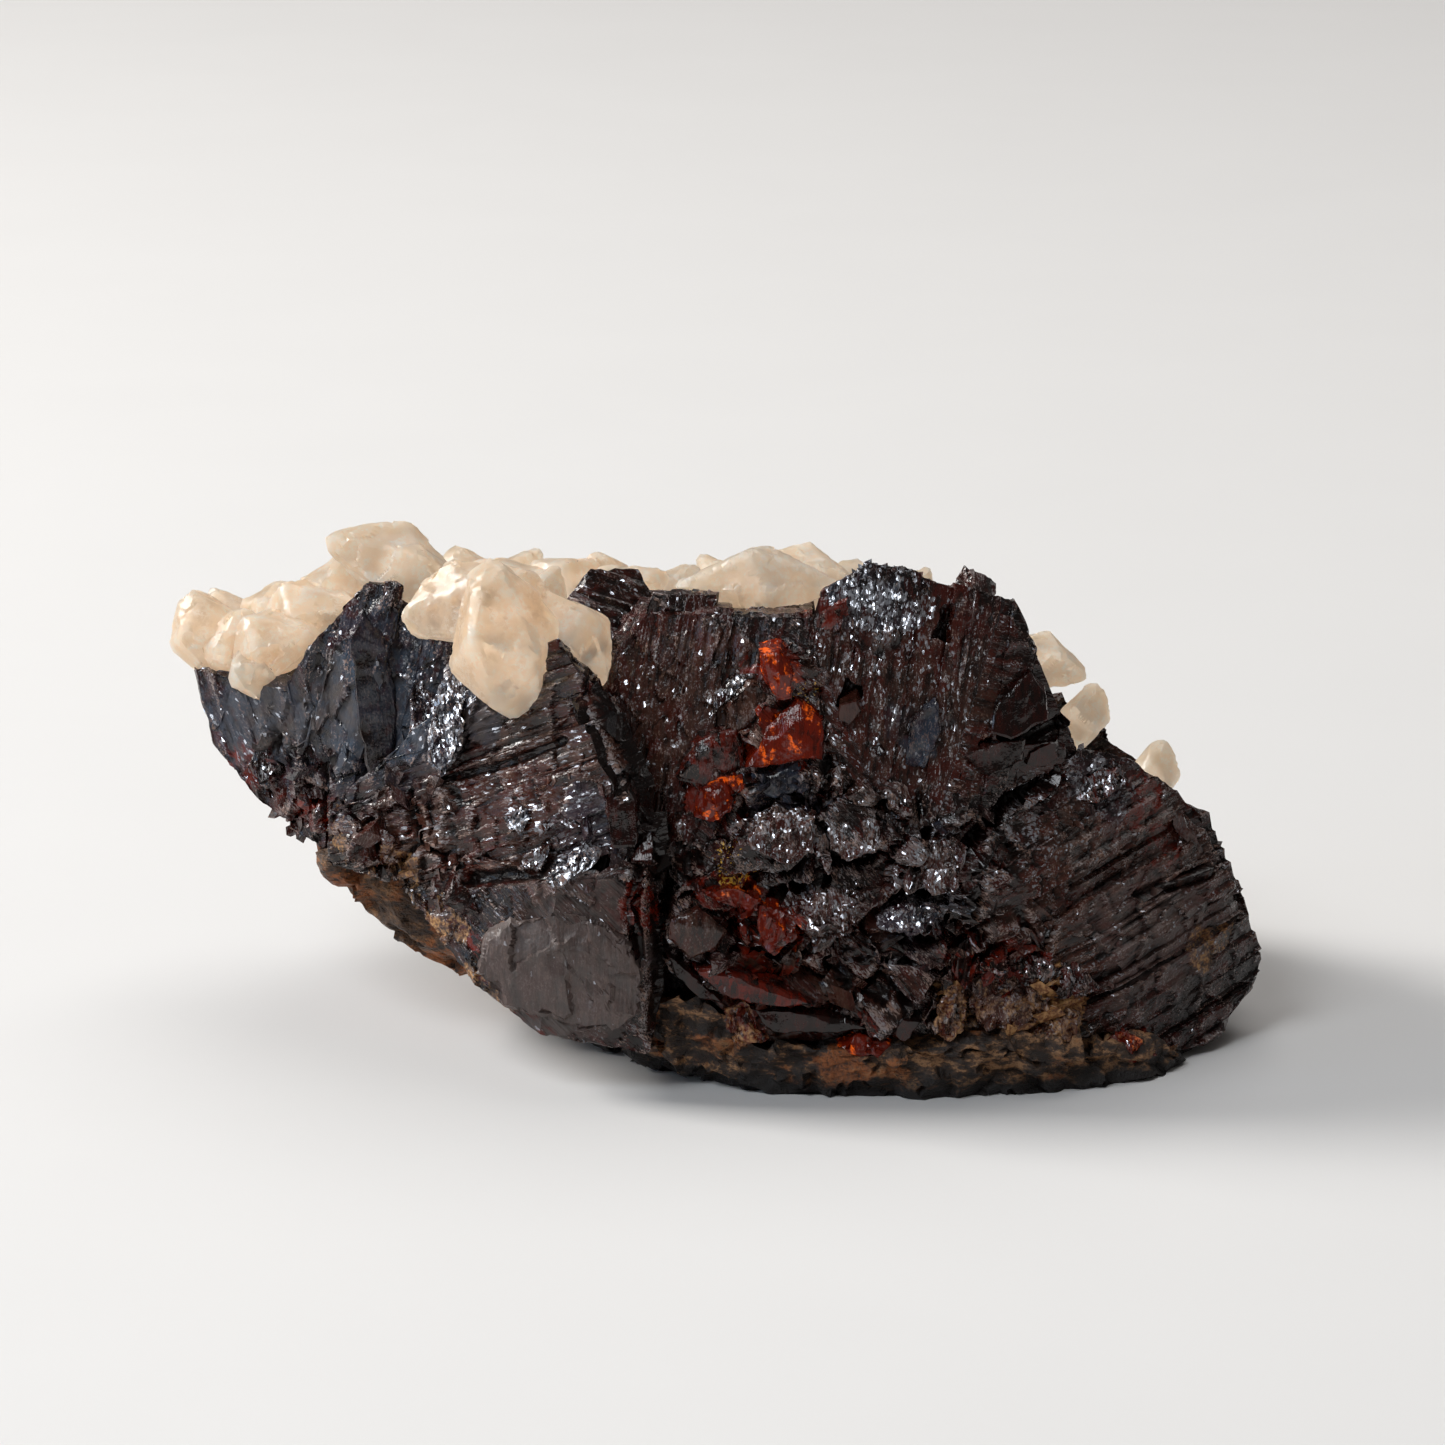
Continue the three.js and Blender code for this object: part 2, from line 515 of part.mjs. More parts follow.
let sphalerite = joined([crystalMass, ...blocks, ...smallBlocks(ground)]).subtract(joined(pits));
sphalerite = sphalerite.subtract(hostRock(CONTACT_GAP));
for (const crystals of Object.values(clusters))
  sphalerite = sphalerite.subtract(cluster(crystals, CONTACT_GAP));

const FINISH = {
  sphalerite: new THREE.MeshStandardMaterial({ color: 0x2a1814, roughness: 0.3, metalness: 0.1 }),
  calcite: new THREE.MeshStandardMaterial({ color: 0xdcc19a, roughness: 0.45, metalness: 0 }),
  hostRock: new THREE.MeshStandardMaterial({ color: 0x5c3b22, roughness: 0.8, metalness: 0 }),
};

const specimen = new THREE.Group();
function addPiece(name, solid, finish) {
  const mesh = new THREE.Mesh(geometryOf(withoutCrumbs(solid)), finish);
  mesh.name = name;
  specimen.add(mesh);
}
addPiece("sphalerite", sphalerite, FINISH.sphalerite);
addPiece("host_rock", hostRock(0), FINISH.hostRock);
for (const [name, crystals] of Object.entries(clusters))
  addPiece(`calcite_${name}`, cluster(crystals, 0), FINISH.calcite);

// The origin goes from where the crystals were measured to the middle of the footprint.
const middle = new THREE.Box3().setFromObject(specimen).getCenter(new THREE.Vector3());
specimen.position.set(-middle.x, -middle.y, 0);

export default specimen;
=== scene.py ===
"""Sphalerite specimen: dark, resinous crystals and honey calcite on a strip of host rock.

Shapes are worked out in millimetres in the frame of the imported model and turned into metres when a
piece is made. The broken front looks along -Y, and the calcite grows over the top and the back.
"""

import math

import bpy
import numpy as np
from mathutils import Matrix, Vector


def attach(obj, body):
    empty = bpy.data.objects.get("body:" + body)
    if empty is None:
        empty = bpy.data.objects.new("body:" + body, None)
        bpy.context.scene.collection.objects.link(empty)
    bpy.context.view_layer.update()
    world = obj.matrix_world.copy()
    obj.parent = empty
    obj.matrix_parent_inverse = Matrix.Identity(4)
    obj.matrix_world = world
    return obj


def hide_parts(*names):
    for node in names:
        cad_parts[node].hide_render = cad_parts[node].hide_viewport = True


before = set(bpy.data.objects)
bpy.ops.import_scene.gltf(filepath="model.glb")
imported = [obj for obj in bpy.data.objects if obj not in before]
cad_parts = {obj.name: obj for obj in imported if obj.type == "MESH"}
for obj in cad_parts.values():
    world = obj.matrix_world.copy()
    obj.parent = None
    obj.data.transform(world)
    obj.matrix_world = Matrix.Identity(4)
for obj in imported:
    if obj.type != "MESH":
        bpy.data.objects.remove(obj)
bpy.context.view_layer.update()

MM = 0.001
PER_MM = 1000.0  # texture scale for one cell a millimetre
WELD = 1e-3  # millimetres; corners closer than this are one corner
# Degrees of the bend from which an edge is sharp
SHARP_CRYSTAL, SHARP_FRAGMENT, SHARP_FACET, SHARP_CALCITE, SHARP_ROCK = 28, 5, 22, 30, 40
PHOTO_PIXELS = 1445
CAMERA_PIXELS_PER_MM = 18.4  # at the specimen
CAMERA_ELEVATION = math.radians(15)
CAMERA_AIM = (0.435, -8.776, 18.6)
LENS, SENSOR = 150.0, 36.0

# Scattered numbers and noise

SCATTER_WEIGHTS = np.array([12.9898, 78.233, 37.719])
SCATTER_SEED_WEIGHT, SCATTER_MULTIPLE = 4.13, 43758.5453
OCTAVE_HEIGHT, OCTAVES_SUM = 0.55, 1.5  # each octave against the last, and about all of them


def scattered(cells, seed):
    """A number from 0 to 1 for each whole-numbered cell: what is left after the point of a large
    multiple of the sine of the cell's weighted sum."""
    total = np.sin(cells @ SCATTER_WEIGHTS + SCATTER_SEED_WEIGHT * seed) * SCATTER_MULTIPLE
    return total - np.floor(total)


def cloud(points, size, seed):
    """Soft noise from -1 to 1: the scattered numbers of the eight corners of a point's cell, each
    weighted by how near the point is to it, eased at both ends."""
    grid = points / size
    low = np.floor(grid)
    share = grid - low
    share = share * share * (3 - 2 * share)
    total = np.zeros(len(points))
    for corner in np.ndindex(2, 2, 2):
        corner = np.array(corner)
        weight = np.prod(np.where(corner, share, 1 - share), axis=1)
        total += weight * scattered(low + corner, seed)
    return 2 * total - 1


def rough_cloud(points, size, seed, octaves=3):
    """Noise from about -1 to 1: clouds added up, each half as wide as the last and lower."""
    layers = (OCTAVE_HEIGHT**k * cloud(points, size / 2**k, seed + k) for k in range(octaves))
    return sum(layers) / OCTAVES_SUM


def nearest_seed(points, size, seed):
    """For each point the nearest of the seeds that lie one to a cell, the cell of that seed, and
    how much further off the second nearest is."""
    grid = points / size
    home = np.floor(grid)
    best, second = np.full((2, len(points)), np.inf)
    spot, cell_of = np.zeros_like(points), np.zeros_like(points)
    for step in np.ndindex(3, 3, 3):
        cell = home + np.array(step) - 1
        where = cell + np.stack([scattered(cell, seed + k) for k in range(3)], axis=1)
        away = ((where - grid) ** 2).sum(axis=1)
        closer = away < best
        second = np.where(closer, best, np.minimum(second, away))
        best[closer] = away[closer]
        spot[closer], cell_of[closer] = where[closer], cell[closer]
    return spot * size, cell_of, (np.sqrt(second) - np.sqrt(best)) * size


def eased(value, low, high):
    """0 below low, 1 above high, and 3t squared less 2t cubed between them."""
    t = np.clip((value - low) / (high - low), 0, 1)
    return t * t * (3 - 2 * t)


# Surfaces as arrays of points and triangles


def node_surface(name):
    """Points and triangles of a CAD node, its loose triangles joined where their corners meet."""
    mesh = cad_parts[name].data
    mesh.calc_loop_triangles()
    co = np.empty(len(mesh.vertices) * 3, np.float32)
    mesh.vertices.foreach_get("co", co)
    corners = np.empty(len(mesh.loop_triangles) * 3, np.int32)
    mesh.loop_triangles.foreach_get("vertices", corners)
    co = co.reshape(-1, 3).astype(float) / MM
    spots = np.round(co / WELD).astype(np.int64)
    _, first, same = np.unique(spots, axis=0, return_index=True, return_inverse=True)
    faces = same.ravel()[corners].reshape(-1, 3)
    whole = (faces != np.roll(faces, 1, axis=1)).all(axis=1)
    return co[first], faces[whole]


def cut_faces(points, faces, middle):
    """Triangles cut at the middles of their sides. `middle` has a point for each side, or -1. One
    cut side makes two triangles, three make four, and two make one and a quad, which is cut along
    its shorter diagonal."""
    cuts = (middle >= 0).sum(axis=1)

    def turned(kind, first):
        order = (np.arange(3) + first[:, None]) % 3
        turned_faces = np.take_along_axis(faces[kind], order, axis=1)
        return turned_faces.T, np.take_along_axis(middle[kind], order, axis=1).T

    one, two, three = cuts == 1, cuts == 2, cuts == 3
    parts = [faces[cuts == 0].T]
    (a, b, c), (ab, _, _) = turned(one, np.argmax(middle[one] >= 0, axis=1))
    parts += [(a, ab, c), (ab, b, c)]
    (a, b, c), (ab, bc, _) = turned(two, np.argmin(middle[two] >= 0, axis=1) + 1)
    across = np.linalg.norm(points[a] - points[bc], axis=1)
    short = across < np.linalg.norm(points[ab] - points[c], axis=1)
    parts += [(ab, b, bc), (a, ab, np.where(short, bc, c)), (np.where(short, a, ab), bc, c)]
    (a, b, c), (ab, bc, ca) = faces[three].T, middle[three].T
    parts += [(a, ab, ca), (ab, b, bc), (ca, bc, c), (ab, bc, ca)]
    return np.concatenate([np.stack(part, axis=1) for part in parts])


def refined(points, faces, cut_at, passes=16):
    """The triangles cut finer: in each pass, every edge is cut at the share of its way that
    `cut_at` gives for its two ends, and stays whole where that is no number."""
    for _ in range(passes):
        ends = np.sort(faces[:, [[0, 1], [1, 2], [2, 0]]], axis=2).reshape(-1, 2)
        keys, side = np.unique(ends[:, 0] * len(points) + ends[:, 1], return_inverse=True)
        a, b = points[keys // len(points)], points[keys % len(points)]
        share = cut_at(a, b)
        cut = np.isfinite(share)
        if not cut.any():
            break
        number = np.full(len(keys), -1)
        number[cut] = len(points) + np.arange(cut.sum())
        share = share[cut, None]
        points = np.vstack([points, a[cut] * (1 - share) + b[cut] * share])
        faces = cut_faces(points, faces, number[side].reshape(-1, 3))
    return points, faces


def halved_over(limit):
    """A rule for `refined`: edges longer than the limit, in millimetres, are cut in half."""
    return lambda a, b: np.where(np.linalg.norm(b - a, axis=1) > limit, 0.5, np.nan)


def normals_of(points, faces):
    """Unit normal at each point: the sum of its triangles' normals, by their areas."""
    a, b, c = points[faces].transpose(1, 0, 2)
    corners, weights = faces.ravel(), np.repeat(np.cross(b - a, c - a), 3, axis=0)
    total = np.stack([np.bincount(corners, column, len(points)) for column in weights.T], axis=1)
    return total / np.maximum(np.linalg.norm(total, axis=1, keepdims=True), 1e-12)


def neighbour_mean(numbers, faces, rounds=1):
    """For each point the mean of its neighbours' numbers, taken so many times over, with one
    column for each number."""
    a, b = faces[:, [0, 1, 2]].ravel(), faces[:, [1, 2, 0]].ravel()
    count = np.bincount(a, minlength=len(numbers))
    for _ in range(rounds):
        means = [np.bincount(a, column[b], len(numbers)) / count for column in numbers.T]
        numbers = np.stack(means, axis=1)
    return numbers


def softened(points, faces, rounds, pull=0.5):
    """Corners rounded off: in each round a point goes part of the way to its neighbours' mean, but
    only inwards, so that the creases where crystals meet stay sharp."""
    for _ in range(rounds):
        move = neighbour_mean(points, faces) - points
        inward = (move * normals_of(points, faces)).sum(axis=1) < 0
        points = points + pull * move * inward[:, None]
    return points


def made_piece(name, points, faces, finish, sharp_deg, values=None):
    """A mesh of the points and triangles, smooth up to an angle, with a number for each point
    under each name in `values`, riding on the specimen's one body."""
    mesh = bpy.data.meshes.new(name)
    mesh.vertices.add(len(points))
    mesh.vertices.foreach_set("co", (points * MM).astype(np.float32).ravel())
    mesh.loops.add(faces.size)
    mesh.loops.foreach_set("vertex_index", faces.astype(np.int32).ravel())
    mesh.polygons.add(len(faces))
    mesh.polygons.foreach_set("loop_start", np.arange(0, faces.size, 3, dtype=np.int32))
    mesh.update(calc_edges=True)
    mesh.validate()
    for key, numbers in (values or {}).items():
        attribute = mesh.attributes.new(key, "FLOAT", "POINT")
        attribute.data.foreach_set("value", numbers.astype(np.float32))
    mesh.shade_smooth()
    mesh.set_sharp_from_angle(angle=math.radians(sharp_deg))
    mesh.materials.append(finish)
    made = bpy.data.objects.new(name, mesh)
    bpy.context.scene.collection.objects.link(made)
    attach(made, "root")
    return made


# Materials


class Wire:
    """An output socket of a material. A sum, difference or product with it adds a Math node."""

    def __init__(self, finish, socket):
        self.finish, self.socket = finish, socket

    def math(self, operation, first, second):
        settings = {"operation": operation}
        return self.finish.add("ShaderNodeMath", settings, {0: first, 1: second})

    def __add__(self, other):
        return self.math("ADD", self, other)

    def __sub__(self, other):
        return self.math("SUBTRACT", self, other)

    def __rsub__(self, other):
        return self.math("SUBTRACT", other, self)

    def __mul__(self, other):
        return self.math("MULTIPLY", self, other)

    __radd__ = __add__
    __rmul__ = __mul__

    def eased(self, low, high):
        """A mask from 0 at low to 1 at high, eased at both ends."""
        settings = {"interpolation_type": "SMOOTHSTEP"}
        sockets = {"Value": self, "From Min": low, "From Max": high}
        return self.finish.add("ShaderNodeMapRange", settings, sockets)


class Finish:
    """A material under its name, built up node by node."""

    def __init__(self, name):
        self.material = bpy.data.materials.new(name)
        self.material.use_nodes = True
        self.tree = self.material.node_tree
        self.tree.nodes.clear()
        self.place = self.add("ShaderNodeTexCoord", out="Object")

    def add(self, kind, settings=None, sockets=None, out=0):
        """A node of that kind with its settings, then the values or wires of its sockets."""
        node = self.tree.nodes.new(kind)
        for key, value in (settings or {}).items():
            setattr(node, key, value)
        for key, value in (sockets or {}).items():
            if isinstance(value, Wire):
                self.tree.links.new(value.socket, node.inputs[key])
            else:
                node.inputs[key].default_value = value
        return Wire(self, node.outputs[out])

    def value(self, name):
        """The number that the mesh holds for each point under that name."""
        return self.add("ShaderNodeAttribute", {"attribute_name": name}, out="Fac")

    def noise(self, per_mm, detail, roughness, at=None):
        """Noise with so many waves a millimetre, about 0.5 on average."""
        sockets = {"Scale": per_mm * PER_MM, "Detail": detail, "Roughness": roughness}
        sockets["Vector"] = at or self.place
        return self.add("ShaderNodeTexNoise", None, sockets)

    def grains(self, per_mm, at):
        """Cells, so many a millimetre, each with a colour of its own."""
        sockets = {"Vector": at, "Scale": per_mm * PER_MM}
        return self.add("ShaderNodeTexVoronoi", None, sockets, "Color")

    def mixed(self, share, first, second):
        """Two colours mixed: the first at share 0, the second at share 1."""
        settings = {"data_type": "RGBA"}
        return self.add("ShaderNodeMix", settings, {0: share, 6: first, 7: second}, 2)

    def layered(self, tone, *layers):
        """A colour with others laid over it in turn, each by its share."""
        for share, over in layers:
            tone = self.mixed(share, tone, over)
        return tone

    def vector(self, operation, first, second):
        """Vector maths on two vectors, or on a vector and its scale."""
        other = "Scale" if operation == "SCALE" else 1
        settings = {"operation": operation}
        return self.add("ShaderNodeVectorMath", settings, {0: first, other: second})

    def unit(self, vector):
        """The vector at length 1."""
        return self.add("ShaderNodeVectorMath", {"operation": "NORMALIZE"}, {0: vector})

    def bump(self, height, depth_mm, under=None):
        """The normal of a surface raised by height times a depth in millimetres."""
        sockets = {"Height": height, "Distance": depth_mm * MM, "Strength": 1.0}
        if under:
            sockets["Normal"] = under
        return self.add("ShaderNodeBump", None, sockets)

    def surface(self, **sockets):
        """Ends the material with a Principled surface and returns it."""
        named = {key.replace("_", " "): value for key, value in sockets.items()}
        shader = self.add("ShaderNodeBsdfPrincipled", None, named)
        end = self.tree.nodes.new("ShaderNodeOutputMaterial")
        self.tree.links.new(shader.socket, end.inputs["Surface"])
        return self.material


def colour(red, green, blue):
    """A colour from its linear red, green and blue, with nothing see-through."""
    return (red, green, blue, 1.0)


FLASH = (-0.23, -0.82, 0.53)  # the cleavage plane on which glittering grains lie together
CELL_MEAN = (0.5, 0.5, 0.5)  # the grains' mean colour; a grain tilts by how its own differs
STREAK_RUN, PLATE_RUN = 0.16, 0.55  # how fast streaks and glitter change along a growth line
PLATE_WAVER = 0.25 * MM  # how far the fine noise shifts the glitter across the growth lines


def sphalerite_finish():
    """Near-black resinous blende: fine growth streaks, glittering grains, brown tones, a painted blue
    reflection, painted grey sheen specks and painted shade in the hollows, and ember, gold and ochre
    where light comes through or rust has settled; the ember's orange is a painted glow."""
    f = Finish("resinous_sphalerite")
    x, y, z = (f.add("ShaderNodeSeparateXYZ", None, {0: f.place}, axis) for axis in "XYZ")

    def drawn_out(growth, run):
        """Places whose first part runs across the growth plates and the others slowly along."""
        return f.add("ShaderNodeCombineXYZ", None, {0: growth, 1: (x + y) * run, 2: z * run})

    growth = f.value("growth") * MM
    glitter, polish, crest = f.value("glitter"), f.value("polish"), f.value("crest")
    satin, ember = f.value("satin"), f.value("ember")
    matt = 1 - polish
    streaks = f.noise(2.6, 3.0, 0.62, drawn_out(growth, STREAK_RUN))
    broad = f.noise(0.35, 3.0, 0.6)
    patches = f.noise(0.9, 4.0, 0.65)
    fine = f.noise(5.0, 2.0, 0.6)
    plates = drawn_out(growth + fine * PLATE_WAVER, PLATE_RUN)
    small, coarse = f.grains(8.5, plates), f.grains(3.0, plates)
    odd, chance = (f.add("ShaderNodeSeparateColor", None, {0: cell}) for cell in (coarse, small))
    bright = f.add("ShaderNodeSeparateColor", None, {0: small}, 1)
    # the speck pattern of the painted sheen
    sheen_speck_noise = f.noise(9.5, 2.0, 0.75, plates)

    # Glints: how much the grains show, and the few that flash as one
    shown = (patches + streaks).eased(0.8, 1.1) * glitter
    spangle = f.value("spangle") * (patches + streaks * 0.8 + odd * 0.4).eased(0.8, 1.1)
    crowd = spangle * 0.75 + (shown * 0.30 + (streaks + odd * 0.3).eased(0.6, 0.9) * 0.04) * matt
    spark = (chance + crowd * crest.eased(0.2, 0.7)).eased(0.997, 1.01) * bright

    # Relief: bumps of the noises, then each grain tilted its own way or along the cleavage
    normal = f.bump(fine * matt, 0.03, f.bump(patches, 0.08, f.bump(streaks, 0.10)))
    tilt, coarse_tilt = (f.vector("SUBTRACT", cell, CELL_MEAN) for cell in (small, coarse))
    flash = f.add("ShaderNodeCombineXYZ", None, dict(enumerate(FLASH)))
    for lean, amount in (
        (tilt, shown * 0.8 + matt * 0.14),
        (coarse_tilt, matt * 0.2 + spangle * 0.3),
        (flash, shown * 0.8 + spark * 3.0),
    ):
        normal = f.vector("ADD", normal, f.vector("SCALE", lean, amount))

    # Tones of the stone itself, with a painted blue reflection, painted sheen specks and painted shade
    black, brown = colour(0.0065, 0.0028, 0.0022), colour(0.078, 0.033, 0.021)
    # painted reflection: the blue-grey colour here stands in for a reflection of blue light
    wine, blue_sheen = colour(0.068, 0.0080, 0.0042), colour(0.026, 0.037, 0.056)
    satin_grey = colour(0.098, 0.080, 0.074)
    # painted sheen: grey-brown specks in the colour, more on crests, stand in for fine glints
    painted_sheen_tone = f.mixed(odd, colour(0.24, 0.14, 0.105), colour(0.27, 0.25, 0.25))
    wet = (broad + streaks * 0.5 + odd * 0.25).eased(0.74, 1.14) * (0.4 + 0.3 * matt)
    painted_sheen = (sheen_speck_noise + patches * 0.4 + streaks * 0.25 + crest * 0.35).eased(1.08, 1.26)
    painted_sheen = painted_sheen * matt * (1 - 0.85 * satin) * (1 - 0.45 * shown)
    tone = f.layered(
        black,
        (f.value("brown") * (streaks + patches).eased(0.7, 1.2), brown),
        (wet, wine),
        (satin * 0.8, satin_grey),
        # painted reflection: the blue laid into the colour where its spots ask for it
        (f.value("blue_sheen") * (patches + broad).eased(0.75, 1.15), blue_sheen),
        (painted_sheen, painted_sheen_tone),
    )
    # painted shade: where the crest number is low, in hollows and grooves, the colour goes to black
    tone = f.mixed(crest.eased(0.05, 0.5), black, tone)

    # Embers with their painted glow, gold and rust over it, and the glints last
    red, orange = colour(0.125, 0.0085, 0.0022), colour(0.95, 0.13, 0.008)
    glow_level = ember + (patches - 0.5) * 1.4 + (odd - 0.5) * 0.5 + (streaks - 0.5) * matt * 0.9
    glow = glow_level.eased(0.15, 0.8) * ember.eased(0, 0.3)
    lit_core = (glow_level + (fine - 0.5) * 0.8).eased(0.95, 1.3)
    gold = (f.value("gold") + fine).eased(1.08, 1.22)
    rust = (f.value("ochre") + patches + fine * 0.6).eased(1.12, 1.5)
    deep_rust, tan = colour(0.16, 0.055, 0.018), colour(0.46, 0.25, 0.10)
    tone = f.layered(
        tone,
        (glow, f.mixed(lit_core, red, orange)),
        (gold, colour(0.75, 0.42, 0.05)),
        (rust, f.mixed((fine + streaks).eased(0.8, 1.2), deep_rust, tan)),
        (spark, colour(0.52, 0.53, 0.57)),
    )
    return f.surface(
        Base_Color=tone,
        Metallic=spark * 0.9,
        Roughness=0.09 + 0.25 * patches * matt + 0.4 * rust + 0.33 * satin,
        IOR=2.37,
        Specular_IOR_Level=0.10,
        # painted glow: the orange cores give off light of their own, standing in for light that comes
        # through the stone
        Emission_Color=f.mixed(glow * lit_core, colour(0, 0, 0), orange),
        Emission_Strength=0.2,
        Normal=f.unit(normal),
    )


def calcite_finish():
    """Honey calcite: clear to milky, satin outside, paler along its ridges as a painted highlight, with
    a faint painted glow all over, pale veils and threads and a few darker clouds inside."""
    f = Finish("honey_calcite")
    broad = f.noise(0.24, 2.0, 0.5)
    veils = f.noise(0.8, 5.0, 0.68)
    wisps = f.noise(2.2, 4.0, 0.7)
    smoke = (broad + wisps * 0.5).eased(0.72, 0.50)
    milk = (wisps + veils * 0.7).eased(0.86, 1.04) * broad.eased(0.42, 0.56)
    threads = wisps.eased(0.43, 0.5) * wisps.eased(0.57, 0.5) * veils.eased(0.45, 0.6)
    honey, cream = colour(0.80, 0.61, 0.42), colour(0.84, 0.71, 0.56)
    tone = f.layered(
        honey,
        ((broad + veils * 0.7).eased(0.65, 1.15), cream),
        (smoke * 0.75, colour(0.56, 0.41, 0.27)),
        (milk * 0.7, colour(0.95, 0.90, 0.82)),
        (threads * 0.5, colour(0.96, 0.90, 0.82)),
        # painted highlight: paler along the ridges
        (f.value("ridge") * 0.5, colour(0.96, 0.87, 0.76)),
    )
    return f.surface(
        Base_Color=tone,
        Roughness=0.28 + 0.2 * wisps,
        IOR=1.58,
        Subsurface_Weight=0.9,
        Subsurface_Radius=(1.0, 0.84, 0.64),
        Subsurface_Scale=2.6 * MM,
        Transmission_Weight=0.72,
        # painted glow: the calcite gives off a little light in its own tone, standing in for light that
        # comes through it
        Emission_Color=tone,
        Emission_Strength=0.14,
        Normal=f.bump(wisps, 0.03),
    )


def rock_finish():
    """Host rock: near-black and brown with flakes of tan and rust, more ochre to the left, dull, and
    darker towards the bottom with painted shade.
    """
    f = Finish("ochre_host_rock")
    x, z = (f.add("ShaderNodeSeparateXYZ", None, {0: f.place}, axis) for axis in "XZ")
    flat = f.vector("MULTIPLY", f.place, (0.55, 0.55, 1.3))
    broad = f.noise(0.3, 3.0, 0.6)
    grain = f.noise(1.3, 4.0, 0.7, flat)
    fine = f.noise(5.0, 3.0, 0.7)
    flakes = f.noise(1.3, 4.0, 0.75, flat)
    left = (x * -1 + broad * 4 * MM).eased(6 * MM, 13 * MM)
    right = x.eased(6 * MM, 11 * MM)
    soil = (grain + left * 0.1 + right * 0.07).eased(0.44, 0.64)
    tan = (flakes + fine * 0.3 + left * 0.02 + right * 0.05).eased(0.69, 0.80)
    ochre = f.mixed(left, colour(0.36, 0.19, 0.09), colour(0.28, 0.14, 0.06))
    rust = (broad + grain * 0.5 + left * 0.08).eased(0.79, 0.92) * fine.eased(0.3, 0.55)
    # painted shade: darker towards the bottom, where the rock meets the floor
    low = (grain * 2 * MM + z).eased(2.6 * MM, 1.5 * MM)
    tone = f.layered(
        colour(0.022, 0.015, 0.012),
        (soil, colour(0.10, 0.055, 0.032)),
        (tan * 0.85, ochre),
        (rust * 0.8, colour(0.32, 0.095, 0.025)),
        (low, colour(0.012, 0.009, 0.008)),
    )
    return f.surface(
        Base_Color=tone,
        Roughness=0.42 + 0.3 * grain,
        IOR=1.55,
        Specular_IOR_Level=0.35,
        Normal=f.bump(fine, 0.12, f.bump(grain, 0.45)),
    )


def floor_finish():
    """The floor: pale and dull, with a hardly visible cloud."""
    f = Finish("pale_floor")
    grain = f.noise(0.05, 2.0, 0.5)
    tone = f.mixed(grain, colour(0.73, 0.72, 0.71), colour(0.75, 0.74, 0.73))
    return f.surface(Base_Color=tone, Roughness=0.75)


# The sphalerite crystals and where their looks change

# Each crystal: its middle, the direction across its growth plates, and the plates' mean thickness
# and ledge height in millimetres. No direction: the crystal is broken and has no plates.
CRYSTALS = [
    ((-25.5, -2.5, 16.5), (0.9, 0.1, 0.35), 1.5, 0.16),  # far left
    ((-17.5, -8.0, 19.5), (0.95, 0.1, -0.25), 2.2, 0.36),  # left crown
    ((-9.5, -14.2, 16.0), (-0.42, 0.05, 0.9), 0.9, 0.13),  # left band
    ((-17.0, -10.5, 13.0), (-0.42, 0.05, 0.9), 0.9, 0.13),  # its lower end
    ((-8.5, -16.5, 7.0), None, 0, 0),  # left foot
    ((-0.5, -13.0, 20.5), (0.98, 0.0, -0.17), 0.8, 0.07),  # middle left
    ((3.6, -14.8, 19.0), None, 0, 0),  # the orange heart
    ((10.0, -13.5, 21.5), (0.98, 0.05, -0.17), 0.8, 0.11),  # peak
    ((17.0, -12.7, 19.0), (0.2, 0.1, 0.97), 1.6, 0.06),  # shoulder
    ((6.0, -17.0, 9.0), None, 0, 0),  # middle foot
    ((22.0, -10.5, 9.0), (-0.36, 0.08, 0.93), 0.75, 0.21),  # right fan
    ((-6.0, -1.5, 23.5), (0.3, 0.2, 0.9), 0.9, 0.1),  # small crystal behind
    ((-16.0, 10.0, 13.5), (0.8, -0.2, 0.55), 1.6, 0.24),  # back left
    ((0.5, 15.0, 13.0), (0.2, 0.3, 0.93), 1.5, 0.24),  # back middle
    ((17.0, 11.0, 9.0), (-0.3, 0.6, 0.74), 1.5, 0.24),  # back right
]
CRYSTAL_MIDDLES = np.array([crystal[0] for crystal in CRYSTALS])
GROWTH_SEED = 100
PLATE_RANGE = (0.35, 1.7)  # thinnest and thickest plate against the mean
LEAST_LEDGE = 0.3  # lowest ledge against the highest
LEDGE_FALL = 0.24  # share of a plate's thickness over which its ledge drops
LEDGE_FADE, LEDGE_FADE_SEED = 2.6, 9  # the first in millimetres: how far a ledge runs
LEDGE_KEPT, LEDGE_VARIES = 0.6, 0.9  # what a ledge keeps of its height, and how that varies
REACH = 40.0  # millimetres; no point lies further from the origin
LINE_SLACK = 0.03  # millimetres; an edge that ends this near a ledge line isn't cut by it
FRONT_EDGE, BACK_EDGE = 0.31, 0.68  # longest edges in millimetres at the front and the back
FRONT_Y, BACK_Y = -7.0, 3.0  # between them the edges change over

